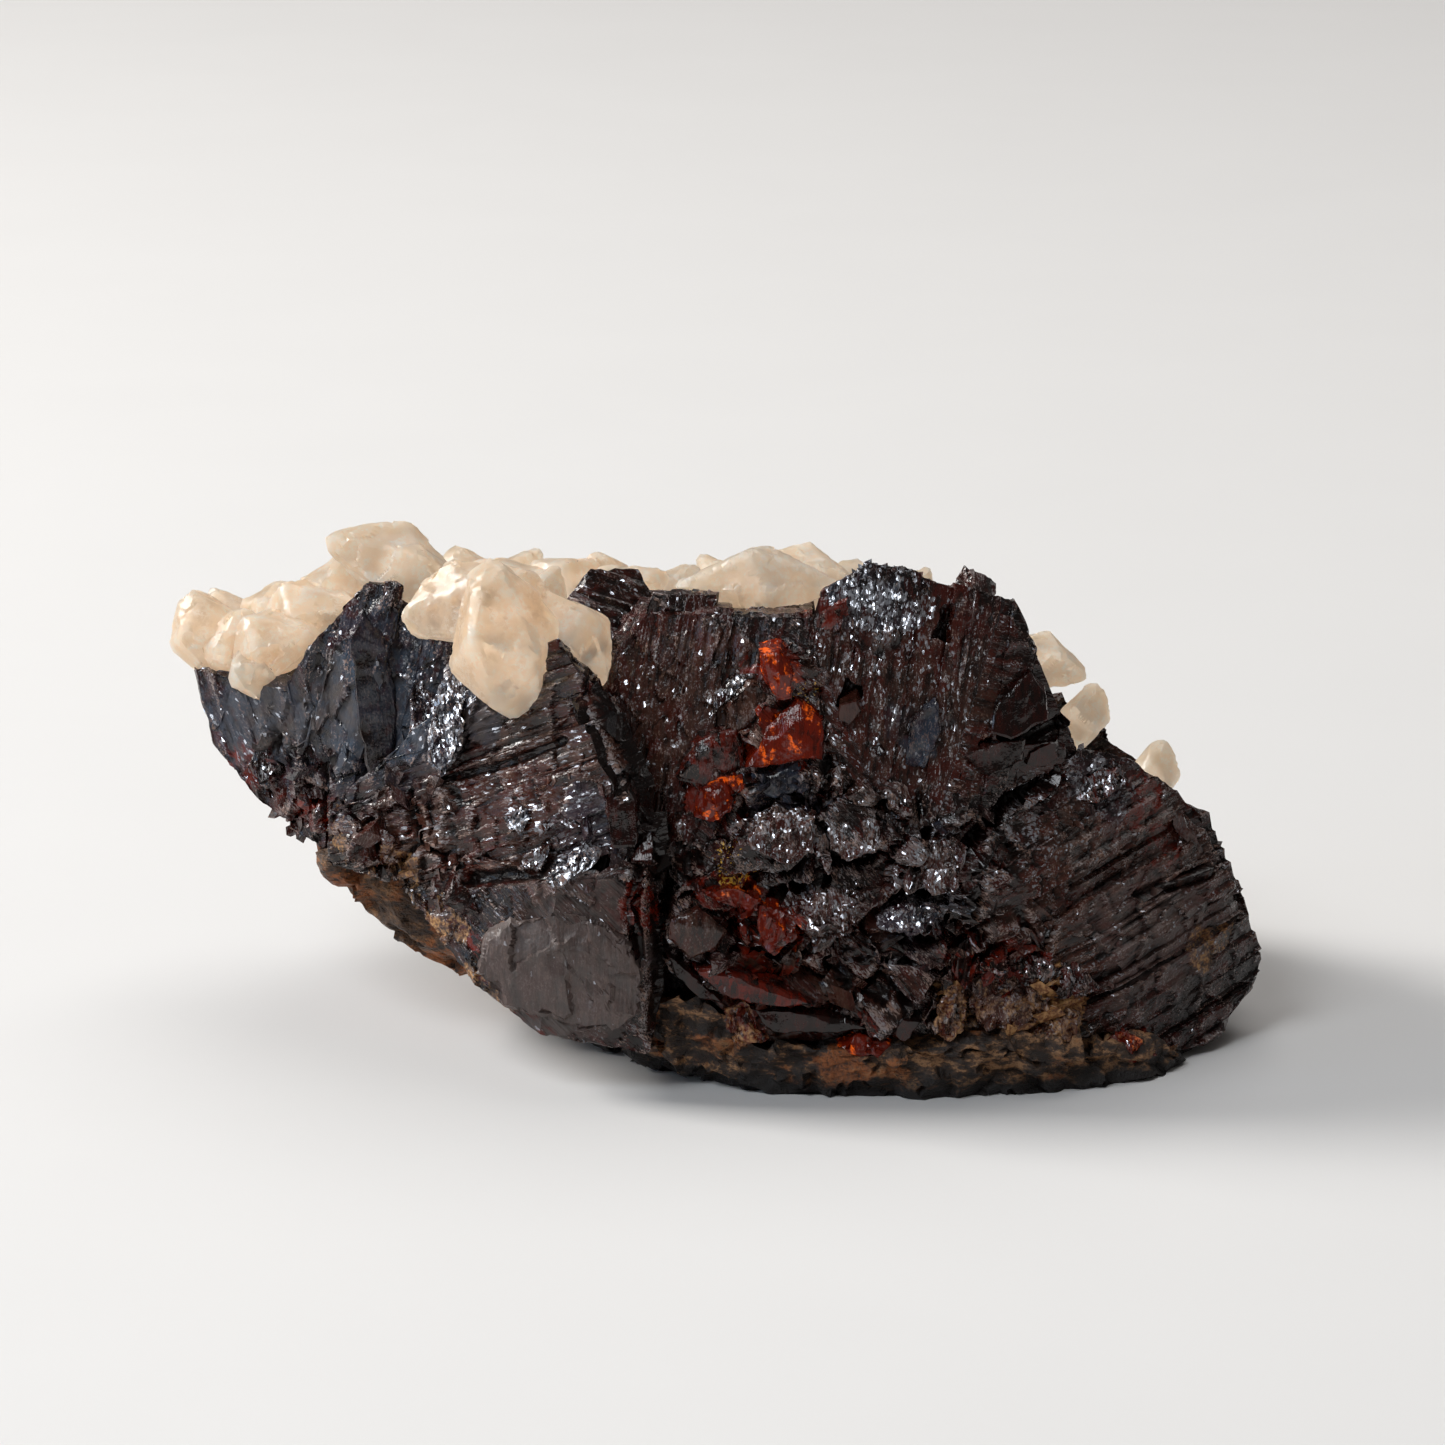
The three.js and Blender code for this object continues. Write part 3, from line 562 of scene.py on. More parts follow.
# Spots on the show face: x, y, z in millimetres, radius, strength. They run deep along the view.
SPOTS = {
    # red of the stone, with an orange painted glow where light comes through
    "ember": [
        (3, -13.4, 22.5, 1.5, 0.75), (4.2, -14, 23.6, 1, 0.6), (4, -14.6, 19.5, 1.9, 0.9),
        (4.9, -15.1, 19.6, 0.8, 0.8), (0, -15.1, 16.2, 1.4, 1), (0.6, -16.4, 11.6, 1.8, 0.65),
        (1.1, -16.4, 10.8, 1.4, 0.6), (3.5, -17, 9.6, 1.5, 0.8), (2.4, -16.8, 6.2, 1.6, 0.4),
        (5.9, -12.8, 26.2, 0.9, 0.6), (1.4, -14.8, 3.3, 1.2, 0.7), (-4.1, -17.2, 10.5, 1.5, 0.45),
        (23.4, -9.2, 14.6, 1.5, 0.45), (-26.4, -2.1, 14.1, 2.2, 0.45), (7.9, -16.7, 15.2, 0.6, 0.8),
        (16.6, -14, 9.8, 0.5, 0.9), (-23, -5, 12.8, 1.6, 0.4), (8.6, -16.9, 2.8, 1.5, 0.6),
        (22.3, -13.5, 2, 1.2, 0.4), (13.4, -16, 7.6, 1.2, 0.4), (16.2, -15, 6.6, 2, 0.5),
        (-12.4, -15, 7.4, 1.4, 0.4), (-10, -16, 4.4, 1.2, 0.4), (24.6, -11, 12.6, 1.4, 0.35),
    ],
    "gold": [
        (0.6, -16.4, 12.6, 1.4, 0.62), (15.9, -12.1, 25, 0.8, 0.6), (-8, -15.5, 9, 1, 0.4),
        (4.6, -14, 22.2, 0.7, 0.5), (-4.2, -11.8, 22.6, 0.22, 0.6),
    ],
    "satin": [
        (-8, -16.9, 6.2, 3.6, 1), (-18.6, -7.7, 18.4, 1.9, 0.8), (-25.5, -2.5, 17.2, 2.6, 0.6),
        (-20.9, -6.8, 20, 1.6, 0.5), (24, -10, 7, 4, 0.35), (-7.2, -16, 11.4, 2.4, 0.35),
        (-16.3, -9.2, 18.4, 0.9, 0.9), (-14.9, -10.6, 17.4, 0.8, 0.8), (-12.6, -12.2, 19.6, 0.7, 0.6),
        (-19.8, -7, 16.2, 1.2, 0.7), (-22.6, -5, 17.6, 0.9, 0.6),
    ],
    "ochre": [
        (12.6, -16.7, 5.2, 1.4, 0.6), (18.7, -14.6, 4.3, 1.9, 0.75), (27.2, -8, 5.9, 1.4, 0.45),
        (-12.6, -14.6, 5.6, 1.7, 0.42), (-14.6, -12.9, 8.2, 1.6, 0.48), (1, -15, 3.2, 1.4, 0.4),
        (-17.4, -10.6, 10.4, 1.7, 0.52), (-27.5, -2, 15.5, 1.2, 0.3), (-10.6, -16, 4.4, 1.2, 0.5),
        (-11.4, -15.4, 7.6, 1.3, 0.4), (-21, -7.4, 12, 1.2, 0.34), (16, -15.2, 3.4, 1.8, 0.68),
    ],
    # painted reflection: where blue is painted into the colour
    "blue_sheen": [
        (-18.8, -7.7, 19.5, 5.5, 1), (-14.5, -10.6, 19.8, 3, 0.9), (-25.5, -2.5, 17, 4, 0.8),
        (3.8, -15.8, 17, 1.6, 1), (11, -14.2, 19.3, 1.4, 0.8), (8.8, -12.7, 26.4, 2, 0.6),
        (20.9, -10.6, 15.6, 2, 0.4), (10.4, -16.9, 9, 2, 0.4), (-6, -16.2, 15, 2.2, 0.6),
    ],
    "brown": [
        (-9.3, -14.4, 16, 6, 1), (-16, -11, 13.5, 3.5, 0.9), (-1.3, -12.8, 21, 4.5, 0.8),
        (10, -14, 21, 6, 0.55), (22, -10.8, 9.7, 7, 0.85), (-8.3, -16.8, 7, 4, 0.5),
        (3.5, -17, 5.6, 3.4, 0.8), (9, -17, 8, 4, 0.5),
    ],
    "glitter": [
        (3.8, -17.4, 13.9, 2.2, 1), (6.1, -18.3, 10.3, 2.2, 1), (10.4, -16.9, 10, 2.2, 1),
        (11.5, -16.8, 12.4, 2.6, 1), (9, -12.7, 26.4, 2, 1), (9.9, -14.5, 20, 6, 0.6),
        (-7, -15.6, 14.6, 3, 0.8), (20.9, -10.6, 15.6, 2.4, 0.8), (-14.5, -10.6, 19.8, 2, 0.8),
        (16.5, -14, 12.5, 3, 0.7), (-25, -3.5, 14.5, 1.2, 0.9), (-10, -14, 17.5, 5, 0.35),
    ],
    "spangle": [
        (8.6, -12.7, 26.6, 2.1, 1), (10.2, -12.9, 26, 1.8, 1), (9.6, -13.4, 24.2, 1.2, 0.7),
        (6.6, -12.9, 26.4, 0.5, 0.9), (19.9, -11.6, 15.7, 1.1, 0.8), (21.8, -10.4, 15.9, 1.1, 0.9),
        (17.6, -13, 15.6, 1, 0.7), (-7.4, -15.9, 13.2, 1.3, 0.8), (-10.2, -14.6, 14.9, 0.8, 0.7),
        (11.8, -16.5, 14.6, 0.8, 0.6), (12.2, -16.6, 11, 0.9, 0.6), (3.8, -17.3, 15.2, 0.9, 0.7),
        (-5.2, -15, 17.2, 0.9, 0.7), (-16, -9.4, 21, 1, 0.4), (16.2, -14.6, 14, 0.9, 0.8),
        (15, -13.2, 16, 0.7, 0.8), (18.4, -12, 14, 0.9, 0.7), (6.2, -18, 10.8, 0.9, 0.7),
    ],
    "polish": [
        (-8, -16.9, 6, 3.2, 0.7), (-18.6, -7.7, 18.4, 1.6, 0.9), (-1, -16.8, 9, 1.8, 1),
        (2.4, -16.8, 6.2, 2.6, 0.9), (5.1, -16.5, 4, 2.8, 1), (16.8, -12.8, 20.2, 2.6, 1),
        (17.5, -12.5, 17.5, 1.4, 1), (3.8, -15.8, 17, 1.4, 0.9), (-4, -16.6, 13.9, 1, 1),
        (4, -14.6, 19.5, 1.8, 0.6),
    ],
    "broken": [
        (6, -17, 9.5, 7.5, 1), (3.6, -15, 19, 3.6, 1), (12, -15.5, 13, 4, 0.9),
        (-16, -11, 12.5, 3.5, 0.8), (-23, -5, 14, 3, 0.7), (8, -13, 25.5, 3, 0.5),
        (-1.5, -16, 11, 4, 1), (14.5, -16, 5.5, 3.5, 1),
    ],
    "lumpy": [
        (7, -17, 10, 6.5, 1), (12, -15.5, 12.5, 3.6, 0.9), (1, -16, 9, 4, 0.8),
        (3.6, -15, 17.5, 3.2, 0.7), (15.5, -15.5, 6, 3.6, 0.9), (-17, -10.5, 12.5, 3.2, 0.5),
        (-23, -5, 13.5, 2.6, 0.5),
    ],
}
LOOKS = ("ember", "gold", "ochre", "blue_sheen", "brown", "glitter", "spangle", "polish", "satin")
VIEW_DEPTH = 0.3  # how much a distance along the view counts against one across it
SPOT_CORE, SPOT_RIM = 0.55, 1.25  # shares of its radius between which a spot fades
SPOT_WAVER, SPOT_WAVER_SIZE, SPOT_WAVER_SEED = 0.3, 1.1, 71  # how its rim wanders
BACK_FADE = (-6, 2)  # y in millimetres between which the looks of the back come in
BACK_BROWN, BACK_BLUE_SHEEN, BACK_GLITTER, LEAST_GLITTER = 0.45, 0.5, 0.35, 0.12
BACK_BLUE_SHEEN_SIZE, BACK_BLUE_SHEEN_SEED = 6, 31
CREST_ROUNDS, CREST_REACH = 5, 0.11  # the reach in millimetres
PLAIN_CREST = 0.7  # of a piece without hollows of its own

# Grooves cut between the crystals and the lumps and darkened with painted shade: their lines,
# radius and depth in millimetres.
GROOVES = [
    ([(-6.1, -13.6, 21.6), (-5.1, -16.4, 20.2), (-4, -17, 17.9), (-3.3, -16.7, 14.8), (-3, -15.5, 11.7),
      (-2.9, -17.3, 8.9), (-2.8, -17.3, 5.5), (-3.2, -14.5, 2.6)], 0.9, 1.6),
    ([(5.4, -17.4, 13.2), (5.8, -17, 12.1), (4.7, -17, 11.2), (3.3, -16.4, 10.8)], 0.6, 1.1),
    ([(6.3, -16.6, 13), (7.8, -16.6, 12.8), (9.1, -16.7, 13.6), (10.1, -17, 14.4)], 0.5, 0.9),
    ([(4.6, -16.8, 8.8), (6.7, -16.8, 8.3), (8.2, -16.9, 9), (8.9, -16.5, 10), (10.2, -16.5, 10.7),
      (12.3, -16.7, 10.9)], 0.6, 1),
    ([(8.9, -16.7, 8.7), (11.5, -16.8, 8.8), (13.4, -16.6, 10), (13.8, -16.3, 11.4)], 0.7, 1.1),
    ([(1.1, -16.3, 9.1), (2.4, -16.3, 9.4), (2.7, -17.2, 8.8)], 0.6, 0.9),
    ([(6, -14.9, 18.2), (6, -16.5, 17), (5.4, -16.2, 15.7)], 0.5, 0.8),
    ([(1.6, -15.1, 15.3), (3, -15.4, 15.6), (4.6, -15.8, 16.2)], 0.5, 0.7),
    ([(8.9, -17.2, 5.5), (7.3, -16.9, 6.2), (6.2, -16.2, 7.1)], 0.7, 0.9),
    ([(13.1, -16.4, 8.6), (13.5, -17.4, 7.2), (12.4, -16.9, 5.9)], 0.8, 1.1),
    ([(23.1, -10.2, 9.3), (24.9, -9, 9.5), (26.9, -7.6, 9.8)], 0.6, 0.9),
    ([(13.1, -16.5, 13.1), (15.9, -13.8, 15.6), (18.6, -12.4, 16.5)], 0.6, 0.8),
    ([(14.5, -13.9, 18.7), (17, -12.3, 18.8), (18.7, -11.2, 19.3)], 0.4, 0.5),
    ([(-14.8, -11.4, 16.1), (-11.5, -13.2, 17.4), (-8.2, -14.9, 19.2)], 0.4, 0.4),
    ([(-13.2, -13.4, 11.1), (-9.3, -16.1, 12.3), (-6.1, -15.9, 12.8)], 0.6, 0.6),
    ([(-4, -17.2, 12.7), (-4.4, -17.2, 10.5), (-4, -17.3, 7.7)], 0.5, 0.6),
]
GROOVE_CORE = 0.25  # share of its radius over which a groove has its full depth
GROOVE_SHADE = 0.4  # how much of the crest a groove takes for each millimetre of its depth, as painted shade

# The lattice that the broken parts share, as its turn about x, y and z in degrees.
LATTICE_TURN = (22, 26, -8)
# Kinds of steps on a broken surface: a seed, how wide a step is and the highest that it stands, in
# millimetres, and how freely it picks one of the cleavage planes.
HACKLE = (13, 1.5, 0.3, 0.5)
SMALL_HACKLE = (47, 0.75, 0.3, 0.5)
LUMPS = (61, 3.4, 0.7, 0.3)
LUMP_GAP, LUMP_GAP_DEPTH = 0.5, 0.8  # millimetres; the dark gaps between lumps
LEAST_BROKEN = 0.28  # share of the hackle that a face has outside the broken spots
POLISH_SPARES, LUMPS_SPARE = 0.85, 0.75  # shares of the hackle that polish and lumps keep off
SMALL_SHARE = 0.16  # share of their height that the small steps have
LIKING_SEED = 20
LEAST_FACING = 0.6  # the least that a step's plane counts as facing the way of the surface
WAVE_HEIGHT, WAVE_SIZE, WAVE_SEED = 0.03, 1.6, 5  # the slight wave of grown faces
LOWEST = 0.4  # millimetres; no face that starts above this sinks below it


def turn_matrix(angles_deg):
    """The matrix that turns about x, then y, then z."""
    (cx, sx), (cy, sy), (cz, sz) = ((math.cos(a), math.sin(a)) for a in np.radians(angles_deg))
    about_x = np.array([[1, 0, 0], [0, cx, -sx], [0, sx, cx]])
    about_y = np.array([[cy, 0, sy], [0, 1, 0], [-sy, 0, cy]])
    about_z = np.array([[cz, -sz, 0], [sz, cz, 0], [0, 0, 1]])
    return about_z @ about_y @ about_x


def cleavage_planes():
    """The twelve normals of the rhombic dodecahedron, along which sphalerite splits."""
    pairs = [(a, b, 0) for a in (1, -1) for b in (1, -1)]
    planes = [np.roll(pair, k) for pair in pairs for k in range(3)]
    return np.array(planes) / math.sqrt(2) @ turn_matrix(LATTICE_TURN).T


CLEAVAGE = cleavage_planes()


def crystal_of(points):
    """Which crystal each point belongs to: the one with the nearest middle."""
    away = ((points[:, None, :] - CRYSTAL_MIDDLES[None]) ** 2).sum(axis=2)
    return np.argmin(away, axis=1)


def growth_lines(number):
    """Ledge lines of a crystal across its plates and the height at each: up to the top of a ledge,
    then down over a share of the plate, with uneven plates."""
    _, _, pitch, relief = CRYSTALS[number]
    draw = np.random.default_rng(GROWTH_SEED + number)
    steps = pitch * draw.uniform(*PLATE_RANGE, int(2 * REACH / pitch / PLATE_RANGE[0]))
    tops = np.cumsum(steps) - REACH
    tops = tops[tops < REACH]
    lines = np.stack([tops, tops + LEDGE_FALL * steps[: len(tops)]], axis=1)
    rise, drop = draw.uniform(LEAST_LEDGE, 1, (2, len(tops)))
    return lines.ravel(), relief * np.stack([rise, -drop], axis=1).ravel()


LINES = {k: growth_lines(k) for k, crystal in enumerate(CRYSTALS) if crystal[1]}


def across(number):
    """The unit direction across a crystal's growth plates."""
    direction = np.array(CRYSTALS[number][1], float)
    return direction / np.linalg.norm(direction)


def sphalerite_cuts(a, b):
    """Where an edge of the crystals is cut: where it crosses a ledge line of its crystal, or in
    its middle where it is too long."""
    y = (a[:, 1] + b[:, 1]) / 2
    limit = FRONT_EDGE + (BACK_EDGE - FRONT_EDGE) * eased(y, FRONT_Y, BACK_Y)
    share = np.where(np.linalg.norm(b - a, axis=1) > limit, 0.5, np.nan)
    one, other = crystal_of(a), crystal_of(b)
    for number, (lines, _) in LINES.items():
        on = np.flatnonzero((one == number) & (other == number))
        start, end = a[on] @ across(number), b[on] @ across(number)
        first = np.searchsorted(lines, np.minimum(start, end) + LINE_SLACK)
        last = np.searchsorted(lines, np.maximum(start, end) - LINE_SLACK)
        crossed = last > first
        line = lines[(first + last)[crossed] // 2]
        share[on[crossed]] = (line - start[crossed]) / (end - start)[crossed]
    return share


def as_seen(points):
    """Points in the camera's frame: to the right, up, and away from it, the last cut down, so that
    a distance there counts little along the view."""
    cos, sin = math.cos(CAMERA_ELEVATION), math.sin(CAMERA_ELEVATION)
    x, y, z = np.asarray(points, float).T
    return np.stack([x, z * cos + y * sin, VIEW_DEPTH * (y * cos - z * sin)], axis=1)


def spot_mask(points, name):
    """How much of a look each point has: a spot's strength inside it, fading over its noisy rim,
    and where spots overlap the most that one of them gives."""
    seen = as_seen(points)
    waver = SPOT_WAVER * cloud(points, SPOT_WAVER_SIZE, SPOT_WAVER_SEED)
    total = np.zeros(len(points))
    for x, y, z, radius, strength in SPOTS[name]:
        distance = np.linalg.norm(seen - as_seen([(x, y, z)]), axis=1) / radius
        inside = eased(-distance - waver, -SPOT_RIM, -SPOT_CORE)
        total = np.maximum(total, strength * inside)
    return total


def groove_depths(points):
    """How deep the grooves cut: each its full depth along its line, easing out to its radius, and
    where grooves meet the deepest."""
    seen = as_seen(points)
    deepest = np.zeros(len(points))
    for line, radius, depth in GROOVES:
        corners = as_seen(line)
        nearest = np.full(len(points), np.inf)
        for a, b in zip(corners[:-1], corners[1:]):
            share = np.clip((seen - a) @ (b - a) / ((b - a) @ (b - a)), 0, 1)
            away = np.linalg.norm(seen - a - share[:, None] * (b - a), axis=1)
            nearest = np.minimum(nearest, away)
        deepest = np.maximum(deepest, depth * eased(-nearest / radius, -1, -GROOVE_CORE))
    return deepest


def cleavage_steps(points, normals, seed, size, limit, wildness):
    """Height of a surface broken along the cleavage: round each scattered seed it follows the plane
    through the seed that faces most nearly as the surface does, give or take some wildness. Then
    how far each point is from the edge of its step."""
    spots, cells, gap = nearest_seed(points, size, seed)
    first = seed + LIKING_SEED
    liking = np.stack([scattered(cells, first + k) for k in range(len(CLEAVAGE))], axis=1)
    plane = CLEAVAGE[np.argmax(normals @ CLEAVAGE.T + wildness * liking, axis=1)]
    facing = np.maximum((plane * normals).sum(axis=1), LEAST_FACING)
    offset = spots - points
    flat = offset - normals * (offset * normals).sum(axis=1, keepdims=True)
    return np.clip((flat * plane).sum(axis=1) / facing, -limit, limit), gap


def growth_of(points, crystals):
    """How far across its crystal's plates each point lies, in millimetres."""
    growth = points[:, 0] + points[:, 2]
    for number in LINES:
        on = crystals == number
        growth[on] = points[on] @ across(number)
    return growth


def looks_of(points):
    """The numbers that the sphalerite's material reads. A broken step has one look all over, that
    of its seed, so that the looks meet along the edges of the steps. Towards the back each look has
    at least what is written for it there."""
    seed, size = HACKLE[:2]
    seeds, _, _ = nearest_seed(points, size, seed)
    values = {name: spot_mask(seeds, name) for name in LOOKS}
    behind = eased(points[:, 1], *BACK_FADE)
    # towards the back, a painted blue reflection on about half of it
    blue_sheen_here = cloud(points, BACK_BLUE_SHEEN_SIZE, BACK_BLUE_SHEEN_SEED) > 0
    values["brown"] = np.maximum(values["brown"], BACK_BROWN * behind)
    values["blue_sheen"] = np.maximum(values["blue_sheen"], BACK_BLUE_SHEEN * behind * blue_sheen_here)
    values["glitter"] = np.maximum(values["glitter"], BACK_GLITTER * behind + LEAST_GLITTER)
    values["growth"] = growth_of(points, crystal_of(points))
    values["crest"] = np.full(len(points), PLAIN_CREST)
    return values


def crest_of(height, faces):
    """From 0 in a hollow to 1 on a crest: half, and what is left of a point's height when the mean
    height round it is taken off, over twice the reach of a crest."""
    mean = neighbour_mean(height[:, None], faces, CREST_ROUNDS)[:, 0]
    return np.clip(0.5 + (height - mean) / (2 * CREST_REACH), 0, 1)


def sphalerite_crystals(finish):
    """The intergrown crystals: the CAD surface cut finer, then raised along its normals by growth
    ledges, cleavage steps, lumps and a slight wave, and lowered by the gaps and the grooves."""
    points, faces = refined(*node_surface("sphalerite"), sphalerite_cuts)
    normals = normals_of(points, faces)
    crystals = crystal_of(points)
    height = WAVE_HEIGHT * rough_cloud(points, WAVE_SIZE, WAVE_SEED)
    fading = LEDGE_VARIES * cloud(points, LEDGE_FADE, LEDGE_FADE_SEED)
    lasting = np.clip(LEDGE_KEPT + fading, 0, 1)
    for number, (lines, heights) in LINES.items():
        on = crystals == number
        height[on] += np.interp(points[on] @ across(number), lines, heights) * lasting[on]
    steps, _ = cleavage_steps(points, normals, *HACKLE)
    small_steps, _ = cleavage_steps(points, normals, *SMALL_HACKLE)
    lumps, gap = cleavage_steps(points, normals, *LUMPS)
    broken = np.maximum(spot_mask(points, "broken"), LEAST_BROKEN)
    broken *= 1 - POLISH_SPARES * spot_mask(points, "polish")
    lumpy = spot_mask(points, "lumpy")
    height += broken * ((1 - LUMPS_SPARE * lumpy) * steps + SMALL_SHARE * small_steps)
    height += lumpy * (lumps - LUMP_GAP_DEPTH * eased(-gap, -LUMP_GAP, 0))
    grooves = groove_depths(points)
    height -= grooves
    raised = points + normals * height[:, None]
    raised[:, 2] = np.maximum(raised[:, 2], np.minimum(points[:, 2], LOWEST))
    values = looks_of(points)
    # the crest number, lowered in the grooves, which the material paints as shade
    values["crest"] = np.clip(crest_of(height, faces) - GROOVE_SHADE * grooves, 0, 1)
    made = made_piece("sphalerite_crystals", raised, faces, finish, SHARP_CRYSTAL, values)
    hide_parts("sphalerite")
    return raised, faces


# Cleavage fragments: zones of the show face, as middle and radius, with the count, the size range
# and how far their lattice wanders in degrees.
FRAGMENT_ZONES = [
    ((6.0, -17.0, 9.5), 6.5, 34, (0.5, 1.3), 7),
    ((3.4, -14.8, 19.0), 3.2, 16, (0.5, 1.1), 9),
    ((11.5, -15.8, 13.0), 4.0, 24, (0.4, 1.1), 6),
    ((4.0, -15.5, 2.6), 5.5, 50, (0.5, 1.2), 12),
    ((17.0, -13.0, 2.6), 6.0, 50, (0.5, 1.6), 12),
    ((9.0, -13.0, 26.0), 2.8, 60, (0.3, 0.55), 8),
    ((-7.5, -15.4, 14.5), 3.6, 50, (0.4, 1.0), 8),
    ((-16.5, -11.0, 12.5), 3.6, 45, (0.5, 1.4), 10),
    ((-24.0, -4.5, 14.0), 3.0, 30, (0.5, 1.3), 10),
    ((15.0, -15.5, 6.0), 4.0, 45, (0.5, 1.5), 12),
    ((-1.5, -16.0, 10.0), 3.6, 40, (0.5, 1.4), 9),
    ((20.0, -11.0, 14.5), 3.2, 40, (0.35, 0.9), 7),
    ((-16.0, 12.0, 14.0), 8.0, 60, (0.6, 1.5), 10),
    ((2.0, 16.0, 13.0), 9.0, 70, (0.6, 1.6), 10),
    ((18.0, 11.0, 9.0), 8.0, 60, (0.6, 1.4), 10),
]
FRAGMENT_SEED, FRAGMENT_CORNERS = 29, 8
FRAGMENT_SUNK = 0.16  # share of a fragment's size that its middle lies below the face
FRAGMENT_LOWEST = 1.0  # millimetres; none starts lower
FRAGMENT_SIDES = (0.3, 0.8)  # the least and most of its size that a side of a fragment has
FRAGMENT_POLISH = 0.5
LEAST_VOLUME = 0.5  # of the unit normals of three planes that can enclose a fragment


def cleavage_blocks(middles, sizes, wander_deg, draw):
    """Cleavage fragments: each is the space between three pairs of cleavage planes, its eight
    corners where one plane of each pair meet, so they solve the three planes' equations."""
    count = len(middles)
    normals = np.empty((count, 3, 3))
    for k in range(count):
        while True:
            triple = CLEAVAGE[draw.choice(len(CLEAVAGE), 3, replace=False)]
            if abs(np.linalg.det(triple)) > LEAST_VOLUME:
                break
        normals[k] = triple @ turn_matrix(draw.uniform(-wander_deg, wander_deg, 3)).T
    half = sizes[:, None] * draw.uniform(*FRAGMENT_SIDES, (count, 3)) / 2
    signs = np.array(list(np.ndindex(2, 2, 2))) * 2.0 - 1
    corners = np.linalg.solve(normals[:, None], (signs[None] * half[:, None])[..., None])[..., 0]
    points = (middles[:, None] + corners).reshape(-1, 3)
    quads = np.array([[0, 1, 3, 2], [4, 6, 7, 5], [0, 4, 5, 1], [2, 3, 7, 6], [0, 2, 6, 4], [1, 5, 7, 3]])
    box = np.concatenate([quads[:, [0, 1, 2]], quads[:, [0, 2, 3]]])
    faces = box[None] + FRAGMENT_CORNERS * np.arange(count)[:, None, None]
    inside_out = np.linalg.det(normals) < 0
    faces[inside_out] = faces[inside_out][:, :, ::-1]
    return points, faces.reshape(-1, 3)


def sphalerite_fragments(points, faces, finish):
    """Small cleavage fragments, sunk in the crystals' surface: each zone draws the points that they
    start from and their sizes, with more small ones than large."""
    normals = normals_of(points, faces)
    draw = np.random.default_rng(FRAGMENT_SEED)
    all_points, all_faces, homes, total = [], [], [], 0
    for middle, radius, count, sizes, wander in FRAGMENT_ZONES:
        near = np.linalg.norm(points - np.array(middle), axis=1) < radius
        near &= points[:, 2] > FRAGMENT_LOWEST
        chosen = draw.choice(np.flatnonzero(near), count, replace=False)
        size = draw.uniform(0, 1, count) ** 2 * (sizes[1] - sizes[0]) + sizes[0]
        at = points[chosen] - normals[chosen] * (FRAGMENT_SUNK * size)[:, None]
        block_points, block_faces = cleavage_blocks(at, size, wander, draw)
        all_points.append(block_points)
        all_faces.append(block_faces + total)
        homes.append(np.repeat(at, FRAGMENT_CORNERS, axis=0))
        total += len(block_points)
    points, faces = np.concatenate(all_points), np.concatenate(all_faces)
    values = looks_of(np.concatenate(homes))
    values["growth"] = points @ CLEAVAGE[0]
    values["polish"] = np.maximum(values["polish"], FRAGMENT_POLISH)
    made_piece("sphalerite_fragments", points, faces, finish, SHARP_FRAGMENT, values)


